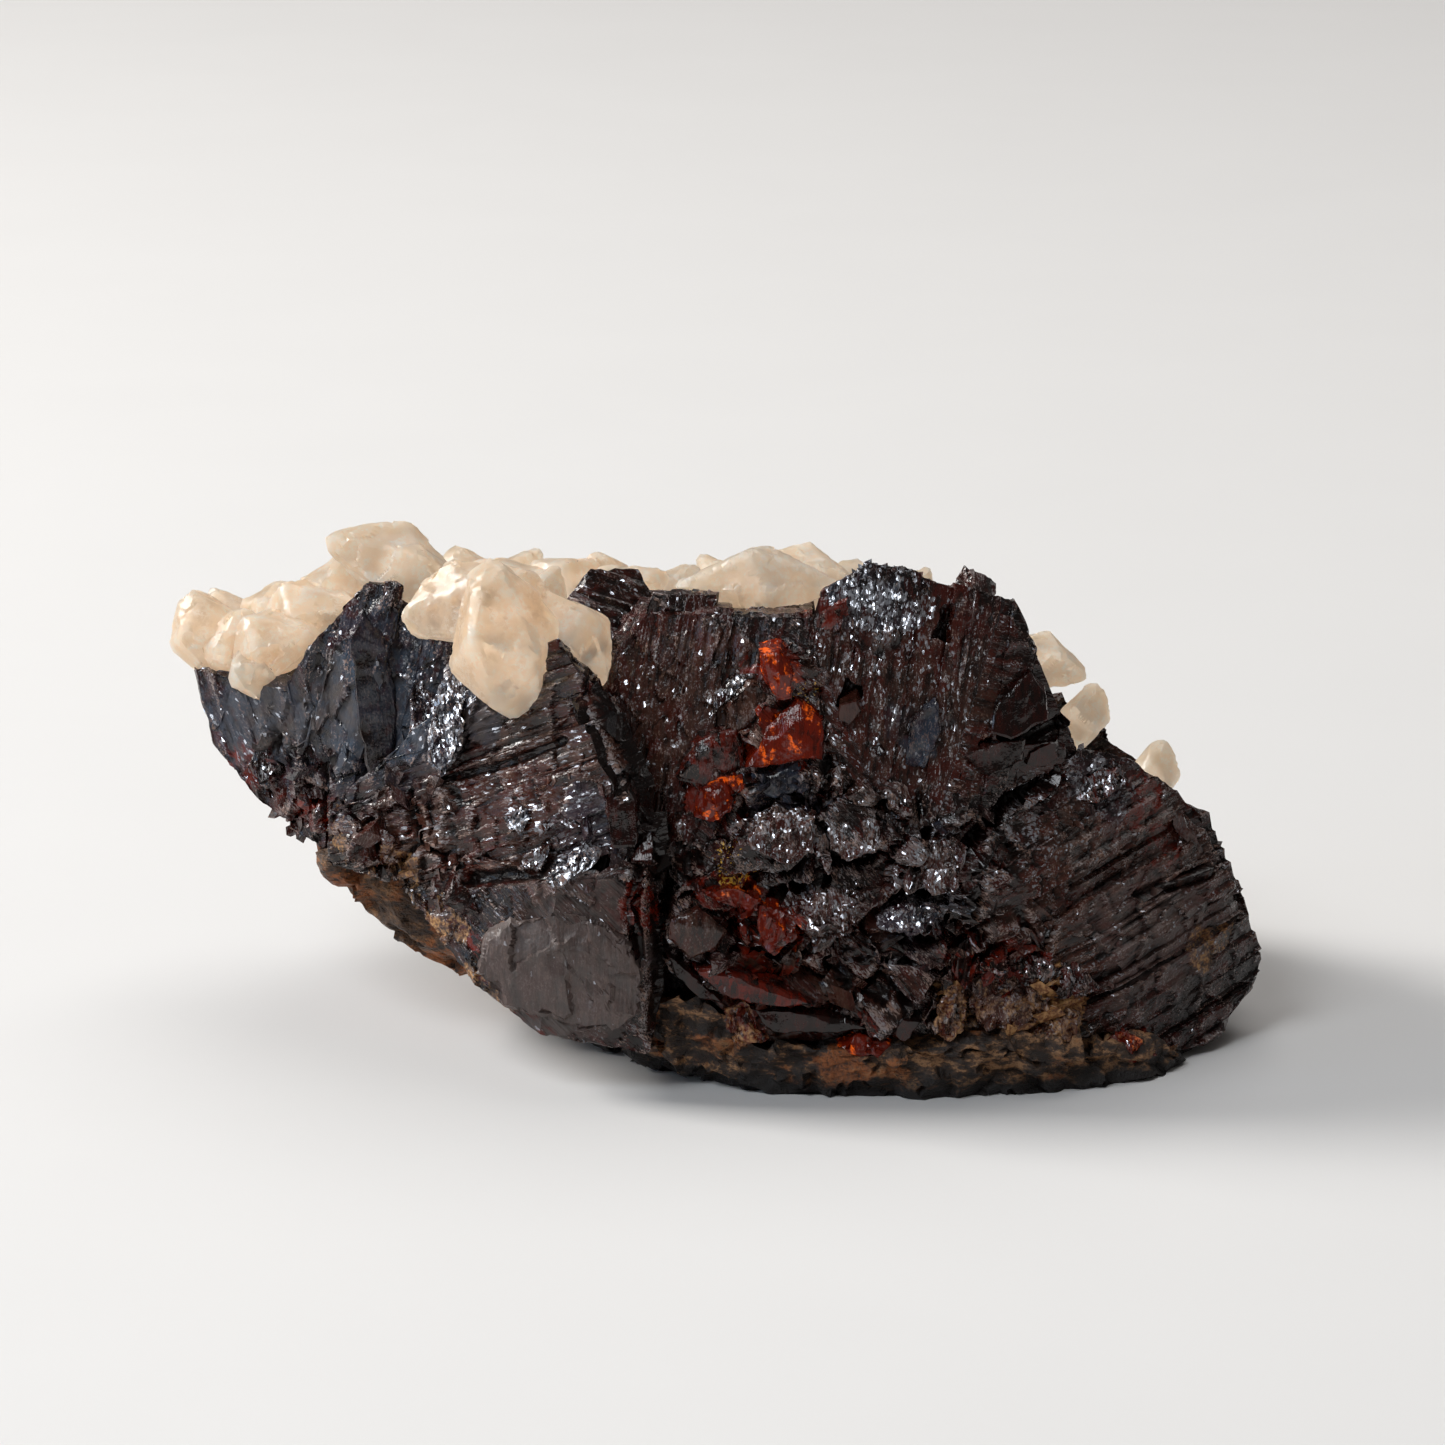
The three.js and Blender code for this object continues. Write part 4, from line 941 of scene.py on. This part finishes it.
# Single facets on the show face, each the front of a block that goes into the stone: the depth of
# its middle, its slopes to the right and up, its outline as x and z, its raised point as x, z and
# height or None, and its looks.
FACETS = [
    (-17.2, (-0.05, -0.02), [(-2.2, 9.9), (-0.8, 10.5), (0.6, 9.3), (0.1, 8.3), (-1.2, 7.7),
     (-2.4, 8.9)], (-1.3, 9.5, 0.3), {"polish": 0.75, "brown": 0.6}),
    (-17, (0.05, 0.25), [(-0.6, 11.4), (0.8, 11.6), (2.5, 11), (2.3, 10.4), (0.4, 10.8)], None,
     {"ember": 0.7, "ochre": 0.25, "polish": 0.5}),
    (-17.4, (0, 0.05), [(-1, 7.2), (0.8, 7.3), (3.2, 6.4), (5.4, 5.1), (3, 5.1), (0.4, 5.8)],
     (1.1, 6.8, 0.25), {"ember": 0.42, "polish": 0.9}),
    (-16.8, (0.3, 0.2), [(-2.5, 7.9), (-1.3, 7.1), (0.4, 5), (-0.8, 5.4), (-2.1, 6.7)],
     (-1.3, 6.8, 0.2), {"polish": 1}),
    (-17, (0, 0.3), [(1.9, 4.8), (4.1, 4.9), (7.3, 4.4), (8.4, 3.8), (6.5, 3.5), (3.2, 3.6)],
     (4.6, 4.6, 0.3), {"polish": 1}),
    (-16.5, (-0.2, 0.2), [(0.5, 4.7), (1.6, 5), (2.8, 3.1), (1.6, 2.6), (0.7, 3.3)], (1.6, 4.2, 0.5),
     {"ember": 0.35, "gold": 0.3, "ochre": 0.4, "polish": 0.4}),
    (-17.3, (0.1, 0.1), [(2.5, 10.7), (3.8, 10.5), (4.4, 8.9), (3.2, 8), (2.4, 8.6)], (3.4, 9.7, 0.5),
     {"ember": 0.75, "polish": 0.4}),
    (-15.3, (-0.1, 0.1), [(2.5, 24), (3.5, 24.2), (4.2, 23.1), (4, 21.7), (3.2, 21.5), (2.7, 22.7)],
     (3.5, 23, 0.4), {"ember": 0.85, "polish": 0.7}),
    (-15.7, (-0.12, 0.3), [(1.8, 17.9), (2.7, 19.8), (4.4, 21.6), (5.7, 20.5), (5.8, 18.6),
     (4.6, 18.4)], (4.4, 20.4, 0.25), {"ember": 0.75, "polish": 0.8}),
    (-15.6, (-0.25, 0.35), [(2, 17.6), (3.2, 18.1), (4.6, 18.4), (4.6, 16.8), (3.2, 16.3), (2, 16.7)],
     (3.3, 17.5, 0.25), {"blue_sheen": 1, "polish": 0.8}),
    (-15.4, (-0.1, 0.2), [(-1, 15.3), (-0.8, 16.6), (0.4, 17.2), (1.2, 16.4), (0.9, 15.5),
     (-0.1, 14.9)], (0.1, 16, 0.4), {"ember": 0.9, "polish": 0.5}),
    (-17.8, (0, 0.35), [(1.9, 14.8), (3.2, 15.7), (5.2, 15.6), (5.2, 14.1), (4, 13.5), (2.3, 14)],
     (4, 15.2, 0.4), {"glitter": 1, "brown": 0.6}),
    (-17.1, (-0.1, 0.4), [(6.1, 14.8), (7.2, 15.8), (8.8, 15.2), (8.5, 13.8), (6.9, 13.3), (6.3, 13.8)],
     None, {"glitter": 1, "brown": 0.5}),
    (-17.6, (-0.15, 0.4), [(4.5, 10.8), (6.2, 11.7), (7.5, 11.2), (7.3, 9.7), (5.4, 8.9), (4.6, 9.7)],
     (5.6, 10.8, 0.3), {"glitter": 1, "brown": 0.5}),
    (-17.6, (-0.1, 0.5), [(8.6, 9.8), (10.2, 10.7), (12.1, 10.5), (11.5, 9.7), (9.9, 9.4)],
     (9.9, 10.2, 0.3), {"glitter": 1, "blue_sheen": 0.5}),
    (-17.3, (-0.2, 0.4), [(11, 13.7), (12.3, 14.2), (13.2, 13.6), (12.8, 11.8), (11.7, 11.5),
     (11.1, 12.2)], None, {"glitter": 1, "brown": 0.5}),
    (-17.2, (-0.28, 0.62), [(-4.4, 13.2), (-3.4, 15.1), (-3.3, 13.2)], None, {"polish": 1}),
    (-16.9, (-0.1, 0.15), [(-5.9, 16.5), (-5, 18), (-4.1, 16.5), (-4.2, 13.9), (-5.5, 13.9)], None,
     {"polish": 1}),
    (-15.1, (-0.1, 0), [(6.6, 20.3), (6.7, 21.2), (7.6, 21.5), (7.9, 20.9), (7.2, 20.2)], None,
     {"polish": 1, "brown": 0.6}),
    (-12.8, (0.25, -0.02), [(16.7, 17.4), (16.9, 18.1), (18.4, 18.6), (18.6, 17.7), (17.8, 17.2)], None,
     {"polish": 1}),
    (-13.6, (0.45, 0.25), [(14.7, 19.5), (15.2, 21.2), (16.9, 22.5), (17.7, 21.5), (17.9, 19.9),
     (15.8, 19.1)], None, {"polish": 1}),
    (-3.8, (-0.3, 0.5), [(-25.7, 14.5), (-25.4, 15.8), (-24.8, 15.7), (-24.2, 14.7), (-25, 13.8)], None,
     {"polish": 0.6, "glitter": 0.8}),
    (-17.1, (-0.22, 0.05), [(-12.7, 6.6), (-12, 8.3), (-10.8, 9.4), (-9, 10.1), (-7.2, 10.1),
     (-5.6, 9.5), (-4.5, 8.4), (-4, 6.6), (-4.2, 4.9), (-5.5, 4), (-7.5, 3.8), (-9.6, 4.5), (-11.2, 5)],
     (-8.2, 8.2, 0.6), {"polish": 0.35, "satin": 0.8, "brown": 1}),
    (-11.5, (-0.25, 0.55), [(-15.3, 17.4), (-14.9, 20.4), (-14.2, 22), (-13.3, 22.9), (-13.2, 21),
     (-13.8, 18.3), (-14.7, 16.8)], None, {"blue_sheen": 0.7, "spangle": 0.8}),
    (-8.1, (0.15, 0.1), [(-19.8, 23), (-19.1, 24.2), (-17.9, 23), (-17.3, 19.6), (-17.4, 16.4),
     (-18.7, 14.8), (-19.4, 18.6)], None, {"blue_sheen": 0.6, "polish": 0.8}),
    (-9, (-0.1, 0.3), [(-16.4, 19.8), (-16, 21.3), (-15.1, 20.4), (-15.4, 18.1), (-16.2, 16.6),
     (-16.6, 18)], None, {"blue_sheen": 0.4, "spangle": 0.4}),
    (-14.6, (0.1, 0.1), [(-2, 17.3), (-0.8, 19.2), (1.1, 19.7), (1.8, 17.8), (1.1, 17.1), (-0.5, 16.4)],
     (-0.1, 18.9, 0.3), {"ember": 0.3, "polish": 0.6}),
    (-13.6, (-0.2, 0.55), [(-0.1, 20.4), (0.1, 21.4), (1.1, 22.3), (2.4, 22.5), (1.5, 21.9), (0.5, 21)],
     None, {"polish": 0.6, "spangle": 0.5}),
    (-14.1, (0, 0.02), [(0.4, 19.4), (0.9, 21.3), (2, 22.2), (3.2, 21.8), (2.9, 20.6), (1.6, 19.6)],
     None, {"brown": 1, "polish": 0.4}),
    (-13.3, (-0.2, 0.1), [(5.3, 25), (6, 26), (7, 26.6), (7.2, 25.8), (6.4, 24.8)], None,
     {"ember": 0.35, "polish": 0.4}),
    (-14.6, (-0.1, 0.15), [(10.2, 17.8), (10.5, 20.1), (11.8, 21.3), (12, 19.5), (11.2, 17.6)], None,
     {"blue_sheen": 0.8, "polish": 0.6}),
    (-14.2, (0.3, 0.1), [(13.4, 18.4), (15.3, 18.9), (16.6, 19), (16.5, 17.8), (14.5, 17.2)], None,
     {"polish": 0.9}),
    (-11.3, (0.2, 0.5), [(18.6, 15.1), (19.7, 16.3), (21.5, 16.5), (22.2, 15.8), (20.6, 15)], None,
     {"ember": 0.3, "spangle": 0.5}),
    (-8.2, (0.6, 0.1), [(24.8, 13.6), (25.6, 13.2), (26.9, 10.9), (26.6, 10.6), (25.4, 12.2)], None,
     {"polish": 0.8, "brown": 0.5}),
    (-8.7, (0.5, -0.05), [(23.2, 7.9), (25.4, 8.5), (26.8, 8.7), (27, 7.3), (25.2, 6.4)], None,
     {"polish": 0.8}),
    (-11.3, (0.4, -0.02), [(20.7, 4.8), (23.7, 5.5), (25.4, 5), (23.8, 3.5), (21.5, 3.2)], None,
     {"polish": 0.8}),
    (-16.6, (0.1, 0.15), [(13.7, 5.3), (14.5, 6.7), (16.4, 6.1), (18, 4.9), (16.9, 3.9), (14.5, 3.7)],
     (15.3, 5.8, 0.4), {"brown": 0.8, "ochre": 0.35}),
    (-14.9, (0.1, 0.2), [(15.4, 7), (17, 7.5), (19.4, 6.7), (20.8, 5.3), (18.9, 4.8), (16.5, 5.7)],
     (17.5, 6.9, 0.5), {"ember": 0.2, "glitter": 0.5}),
    (-17.2, (0, 0.1), [(6.8, 2.8), (7.6, 3.3), (9.3, 3.1), (10.1, 2.3), (8.4, 2.1)], (8.3, 3, 0.4),
     {"ember": 0.8, "polish": 0.3}),
    (-14.3, (-0.28, 0.65), [(17.8, 6.9), (18.1, 7.1), (18.3, 6.9), (18, 6.6)], None, {"polish": 1}),
    (-12.1, (-0.28, 0.65), [(21.3, 7.1), (21.5, 7.3), (21.6, 7), (21.4, 6.9)], None, {"polish": 1}),
    (-17.5, (-0.28, 0.65), [(7.4, 5.8), (7.7, 6), (8, 5.7), (7.7, 5.4)], None, {"polish": 1}),
    (-15.4, (-0.28, 0.65), [(8.6, 18.9), (8.9, 19.1), (9.1, 18.8), (8.8, 18.6)], None, {"polish": 1}),
    (-14.7, (-0.28, 0.6), [(-11.2, 14.7), (-10.4, 15.5), (-9.8, 15.2), (-10.5, 14.2)], None,
     {"spangle": 0.7, "blue_sheen": 0.6}),
    (-16.7, (-0.25, 0.6), [(-9, 12), (-7.4, 13.3), (-6, 13.6), (-6.6, 12.8), (-8.2, 11.8)], None,
     {"spangle": 0.8, "blue_sheen": 0.6}),
    (-15.6, (-0.2, 0.55), [(-10.4, 12.3), (-9.6, 13.2), (-8.7, 13.5), (-9.2, 12.4)], None,
     {"spangle": 0.7}),
    (-4.6, (-0.3, 0.6), [(-23.7, 13.5), (-23.4, 13.9), (-23.1, 13.7), (-23.4, 13.3)], None,
     {"polish": 1}),
    (-16.2, (-0.28, 0.62), [(11.6, 14.8), (11.9, 14.9), (12.3, 14.6), (12.1, 14.4)], None, {"polish": 1,
     "blue_sheen": 1}),
    (-17.3, (0.1, 0.2), [(11.9, 3.6), (12.1, 5.2), (13, 6.2), (13.5, 5.4), (13.3, 3.9), (12.6, 3.2)],
     (12.9, 5.2, 0.5), {"ochre": 0.45, "gold": 0.3, "ember": 0.25, "brown": 1}),
    (-16.2, (0.3, 0.2), [(17, 3.5), (17.9, 4.4), (19.6, 3.8), (19.7, 2.9), (18.1, 2.6)],
     (18.3, 3.7, 0.5), {"ochre": 0.45, "gold": 0.4, "brown": 1}),
    (-14.2, (0.5, 0.2), [(21.4, 1.9), (21.9, 2.6), (23.3, 2.3), (23.9, 1.3), (22.6, 1)], (22.6, 2, 0.4),
     {"ember": 0.7, "ochre": 0.3, "brown": 1}),
    (-17.6, (0, -0.02), [(9.6, 3.6), (10.1, 4.6), (11, 4.5), (10.2, 3.2)], None, {"polish": 1}),
]
FACET_RIM, FACET_RIM_DROP = 0.9, 0.12  # the front's share of the outline, and how far it stands
BLOCK_SPREAD, BLOCK_DEPTH = 1.12, 2.2  # the block's back against the outline, and how deep it is
FACET_EDGE = 0.3  # millimetres; its longest edge
FACET_BOW, FACET_BOW_SIZE, FACET_BOW_SEED = 0.07, 3.1, 84  # how far a facet is from flat
FACET_WAVE_SIZE, FACET_WAVE_SEED = 1.2, 83
FACET_WAVER, FACET_WAVER_SIZE, FACET_WAVER_SEED = 0.2, 0.9, 88  # how its outline wavers
FACET_CHIPS, SATIN_STEPS = (87, 1.0, 0.16, 1.2), (92, 3.8, 0.17, 0.4)  # kinds of steps
CHIPS_FADE, CHIPS_GONE = 0.1, 0.9  # the polish from which chips fade, and where they are gone


def facet_blocks(finish):
    """The single facets: a fan from each raised point to the front's rim, then the outline a drop
    behind it and a wider back, all of them on planes with the facet's slopes. The whole is cut
    finer, then chipped where it isn't polished, stepped where it is satin, bowed and wavered. A
    point's fourth number says whose it is while the blocks are cut finer."""
    parts, blocks, total = [], [], 0
    for middle, slopes, outline, peak, look in FACETS:
        ring = np.array(outline)
        centre = ring.mean(axis=0)
        right, up = ring[:, 0], ring[:, 1]
        if (right * np.roll(up, -1) - up * np.roll(right, -1)).sum() < 0:
            ring = ring[::-1]
        top = np.array(peak or (*centre, 0))
        rings = [top[None, :2]]
        rings += [centre + share * (ring - centre) for share in (FACET_RIM, 1.0, BLOCK_SPREAD)]
        flat = np.vstack(rings + [centre[None]])
        count = len(ring)
        drop = np.repeat([-top[2], 0, FACET_RIM_DROP, BLOCK_DEPTH], [1, count, count, count + 1])
        depth = middle + (flat - centre) @ np.array(slopes) + drop
        here, after = np.arange(count), (np.arange(count) + 1) % count
        faces = [(here * 0, 1 + here, 1 + after)]
        for start in (1, 1 + count):
            a, b, c, d = start + here, start + after, start + count + here, start + count + after
            faces += [(a, c, b), (b, c, d)]
        back = 1 + 2 * count
        faces += [(here * 0 + back + count, back + after, back + here)]
        own = np.full(len(flat), float(len(parts)))
        parts.append(np.stack([flat[:, 0], depth, flat[:, 1], own], axis=1))
        blocks.append(np.hstack([np.stack(face) for face in faces]).T + total)
        total += len(flat)
    cut_points, cut = refined(np.vstack(parts), np.vstack(blocks), halved_over(FACET_EDGE))
    cut_points, owner = cut_points[:, :3], np.round(cut_points[:, 3]).astype(int)
    looks = [look for *_, look in FACETS]
    values = {name: np.array([look.get(name, 0.0) for look in looks])[owner] for name in LOOKS}
    normals = normals_of(cut_points, cut)
    height = WAVE_HEIGHT * rough_cloud(cut_points, FACET_WAVE_SIZE, FACET_WAVE_SEED)
    height += FACET_BOW * cloud(cut_points, FACET_BOW_SIZE, FACET_BOW_SEED)
    chips, _ = cleavage_steps(cut_points, normals, *FACET_CHIPS)
    chips *= eased(-values["polish"], -CHIPS_GONE, -CHIPS_FADE) * (1 - values["satin"])
    broad, _ = cleavage_steps(cut_points, normals, *SATIN_STEPS)
    height += chips + broad * values["satin"]
    raised = cut_points + normals * height[:, None]
    for axis in (0, 2):
        waver = rough_cloud(cut_points, FACET_WAVER_SIZE, FACET_WAVER_SEED + axis)
        raised[:, axis] += FACET_WAVER * waver
    values["growth"] = raised[:, 0]
    values["crest"] = np.clip(PLAIN_CREST + chips, 0, 1)
    made_piece("sphalerite_facets", raised, cut, finish, SHARP_FACET, values)


# The calcite and the host rock

CALCITE_EDGE = 0.3  # millimetres; its longest edge
CALCITE_SWELL = 0.3  # millimetres; closes the gap to the crystals that it grows on
CALCITE_STEPS = (1.7, 0.12, 0.9)  # a kind of steps, without the seed
CALCITE_STEP_SHARE = 0.4  # share of their height that they have
CALCITE_SEED, CALCITE_SEED_STEP = 200, 7
CALCITE_WEAR = 2  # rounds of smoothing over its corners
RIDGE_ROUNDS, RIDGE_REACH = 3, 0.10  # the reach in millimetres


def ridge_of(points, normals, faces):
    """From 0 on a flat or a hollow to 1 on a ridge: how far each point stands above the mean of
    the points round it."""
    stand = points - neighbour_mean(points, faces, RIDGE_ROUNDS)
    return np.clip((stand * normals).sum(axis=1) / RIDGE_REACH, 0, 1)


def calcite_piece(node, finish, seed):
    """A calcite cluster: the CAD surface cut finer, its edges rounded off, then raised by its swell,
    low growth steps and a slight wave."""
    points, faces = refined(*node_surface(node), halved_over(CALCITE_EDGE))
    points = softened(points, faces, CALCITE_WEAR)
    normals = normals_of(points, faces)
    # the ridge number, which the material paints as a highlight
    values = {"ridge": ridge_of(points, normals, faces)}
    steps, _ = cleavage_steps(points, normals, seed, *CALCITE_STEPS)
    height = CALCITE_SWELL + CALCITE_STEP_SHARE * steps
    height += WAVE_HEIGHT * rough_cloud(points, WAVE_SIZE, seed)
    points = points + normals * height[:, None]
    made = made_piece(node + "_grown", points, faces, finish, SHARP_CALCITE, values)
    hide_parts(node)


ROCK_EDGE = 0.45  # millimetres; its longest edge
ROCK_SWELL = 0.2  # millimetres
ROCK_ROUGHNESS, ROCK_CHIP_SHARE = 0.4, 0.7
ROCK_GRAIN = (2.4, 3, 4)  # the rough noise's size in millimetres, its seed and its octaves
ROCK_CHIPS = (5, 1.7, 0.45, 2.0)  # a kind of steps
RESTING = 0.05  # millimetres; a point below this is on the face that the rock rests on


def host_rock_crust(finish):
    """The host rock: the CAD surface cut finer and raised by rough noise, flat where it rests."""
    points, faces = refined(*node_surface("host_rock"), halved_over(ROCK_EDGE))
    normals = normals_of(points, faces)
    chips, _ = cleavage_steps(points, normals, *ROCK_CHIPS)
    height = ROCK_SWELL + ROCK_ROUGHNESS * rough_cloud(points, *ROCK_GRAIN)
    height += ROCK_CHIP_SHARE * chips
    raised = softened(points, faces, 1) + normals * height[:, None]
    resting = points[:, 2] < RESTING
    raised[:, 2] = np.where(resting, 0, np.maximum(raised[:, 2], RESTING))
    made = made_piece("host_rock_crust", raised, faces, finish, SHARP_ROCK)
    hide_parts("host_rock")


# Floor, light and camera

FLOOR_REACH = 3  # metres from its middle to its sides
# The lights, in metres and watts: place, width, power and tint. All look at the specimen.
LIGHTS = {
    "window": ((-0.62, 0.16, 0.42), 0.24, 6.0, (1.0, 0.98, 0.95)),
    "front_window": ((-0.35, -0.4, 0.6), 0.3, 2.3, (0.9, 0.95, 1.0)),
    "low_sky": ((-0.9, -0.35, 0.25), 0.3, 0.9, (0.55, 0.75, 1.0)),
    "ceiling": ((0.15, 0.5, 1.1), 1.0, 5.4, (1.0, 0.98, 0.96)),
}
LIGHTS_AIM = (0, 0, 0.012)
ROOM_TINT, ROOM_STRENGTH = colour(1.0, 0.95, 0.92), 0.1


def aimed(made, place, target):
    """Puts a light or camera at its place, looking at the target, both in metres."""
    made.location = Vector(place)
    made.rotation_mode = "QUATERNION"
    made.rotation_quaternion = (Vector(target) - Vector(place)).to_track_quat("-Z", "Y")
    bpy.context.scene.collection.objects.link(made)
    return made


def soft_light(name, place, width, power, tint):
    """A square light that looks at the specimen."""
    light = bpy.data.lights.new(name, "AREA")
    light.size, light.energy, light.color = width, power, tint
    aimed(bpy.data.objects.new(name, light), place, LIGHTS_AIM)


def stage_and_light():
    """A plain pale floor, a window's light from the upper left behind, and soft fill."""
    mesh = bpy.data.meshes.new("floor")
    r = FLOOR_REACH
    mesh.from_pydata([(-r, -r, 0), (r, -r, 0), (r, r, 0), (-r, r, 0)], [], [(0, 1, 2, 3)])
    mesh.materials.append(floor_finish())
    floor = bpy.data.objects.new("floor", mesh)
    bpy.context.scene.collection.objects.link(floor)
    for name, light in LIGHTS.items():
        soft_light(name, *light)
    world = bpy.data.worlds.new("room")
    world.use_nodes = True
    background = world.node_tree.nodes["Background"]
    background.inputs["Color"].default_value = ROOM_TINT
    background.inputs["Strength"].default_value = ROOM_STRENGTH
    bpy.context.scene.world = world


def camera():
    """Looks at the show face from the photograph's angle, far enough off for its scale."""
    data = bpy.data.cameras.new("camera")
    data.lens, data.sensor_width = LENS, SENSOR
    distance = LENS / SENSOR * PHOTO_PIXELS / CAMERA_PIXELS_PER_MM
    target = Vector(CAMERA_AIM) * MM
    back = Vector((0, -math.cos(CAMERA_ELEVATION), math.sin(CAMERA_ELEVATION)))
    place = target + back * distance * MM
    bpy.context.scene.camera = aimed(bpy.data.objects.new("camera", data), place, target)


camera()
stage_and_light()
bpy.context.scene.view_settings.view_transform = "Standard"

resinous = sphalerite_finish()
show_points, show_faces = sphalerite_crystals(resinous)
sphalerite_fragments(show_points, show_faces, resinous)
facet_blocks(resinous)
honey = calcite_finish()
calcite_nodes = sorted(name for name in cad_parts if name.startswith("calcite"))
for order, node_name in enumerate(calcite_nodes):
    calcite_piece(node_name, honey, CALCITE_SEED + CALCITE_SEED_STEP * order)
host_rock_crust(rock_finish())
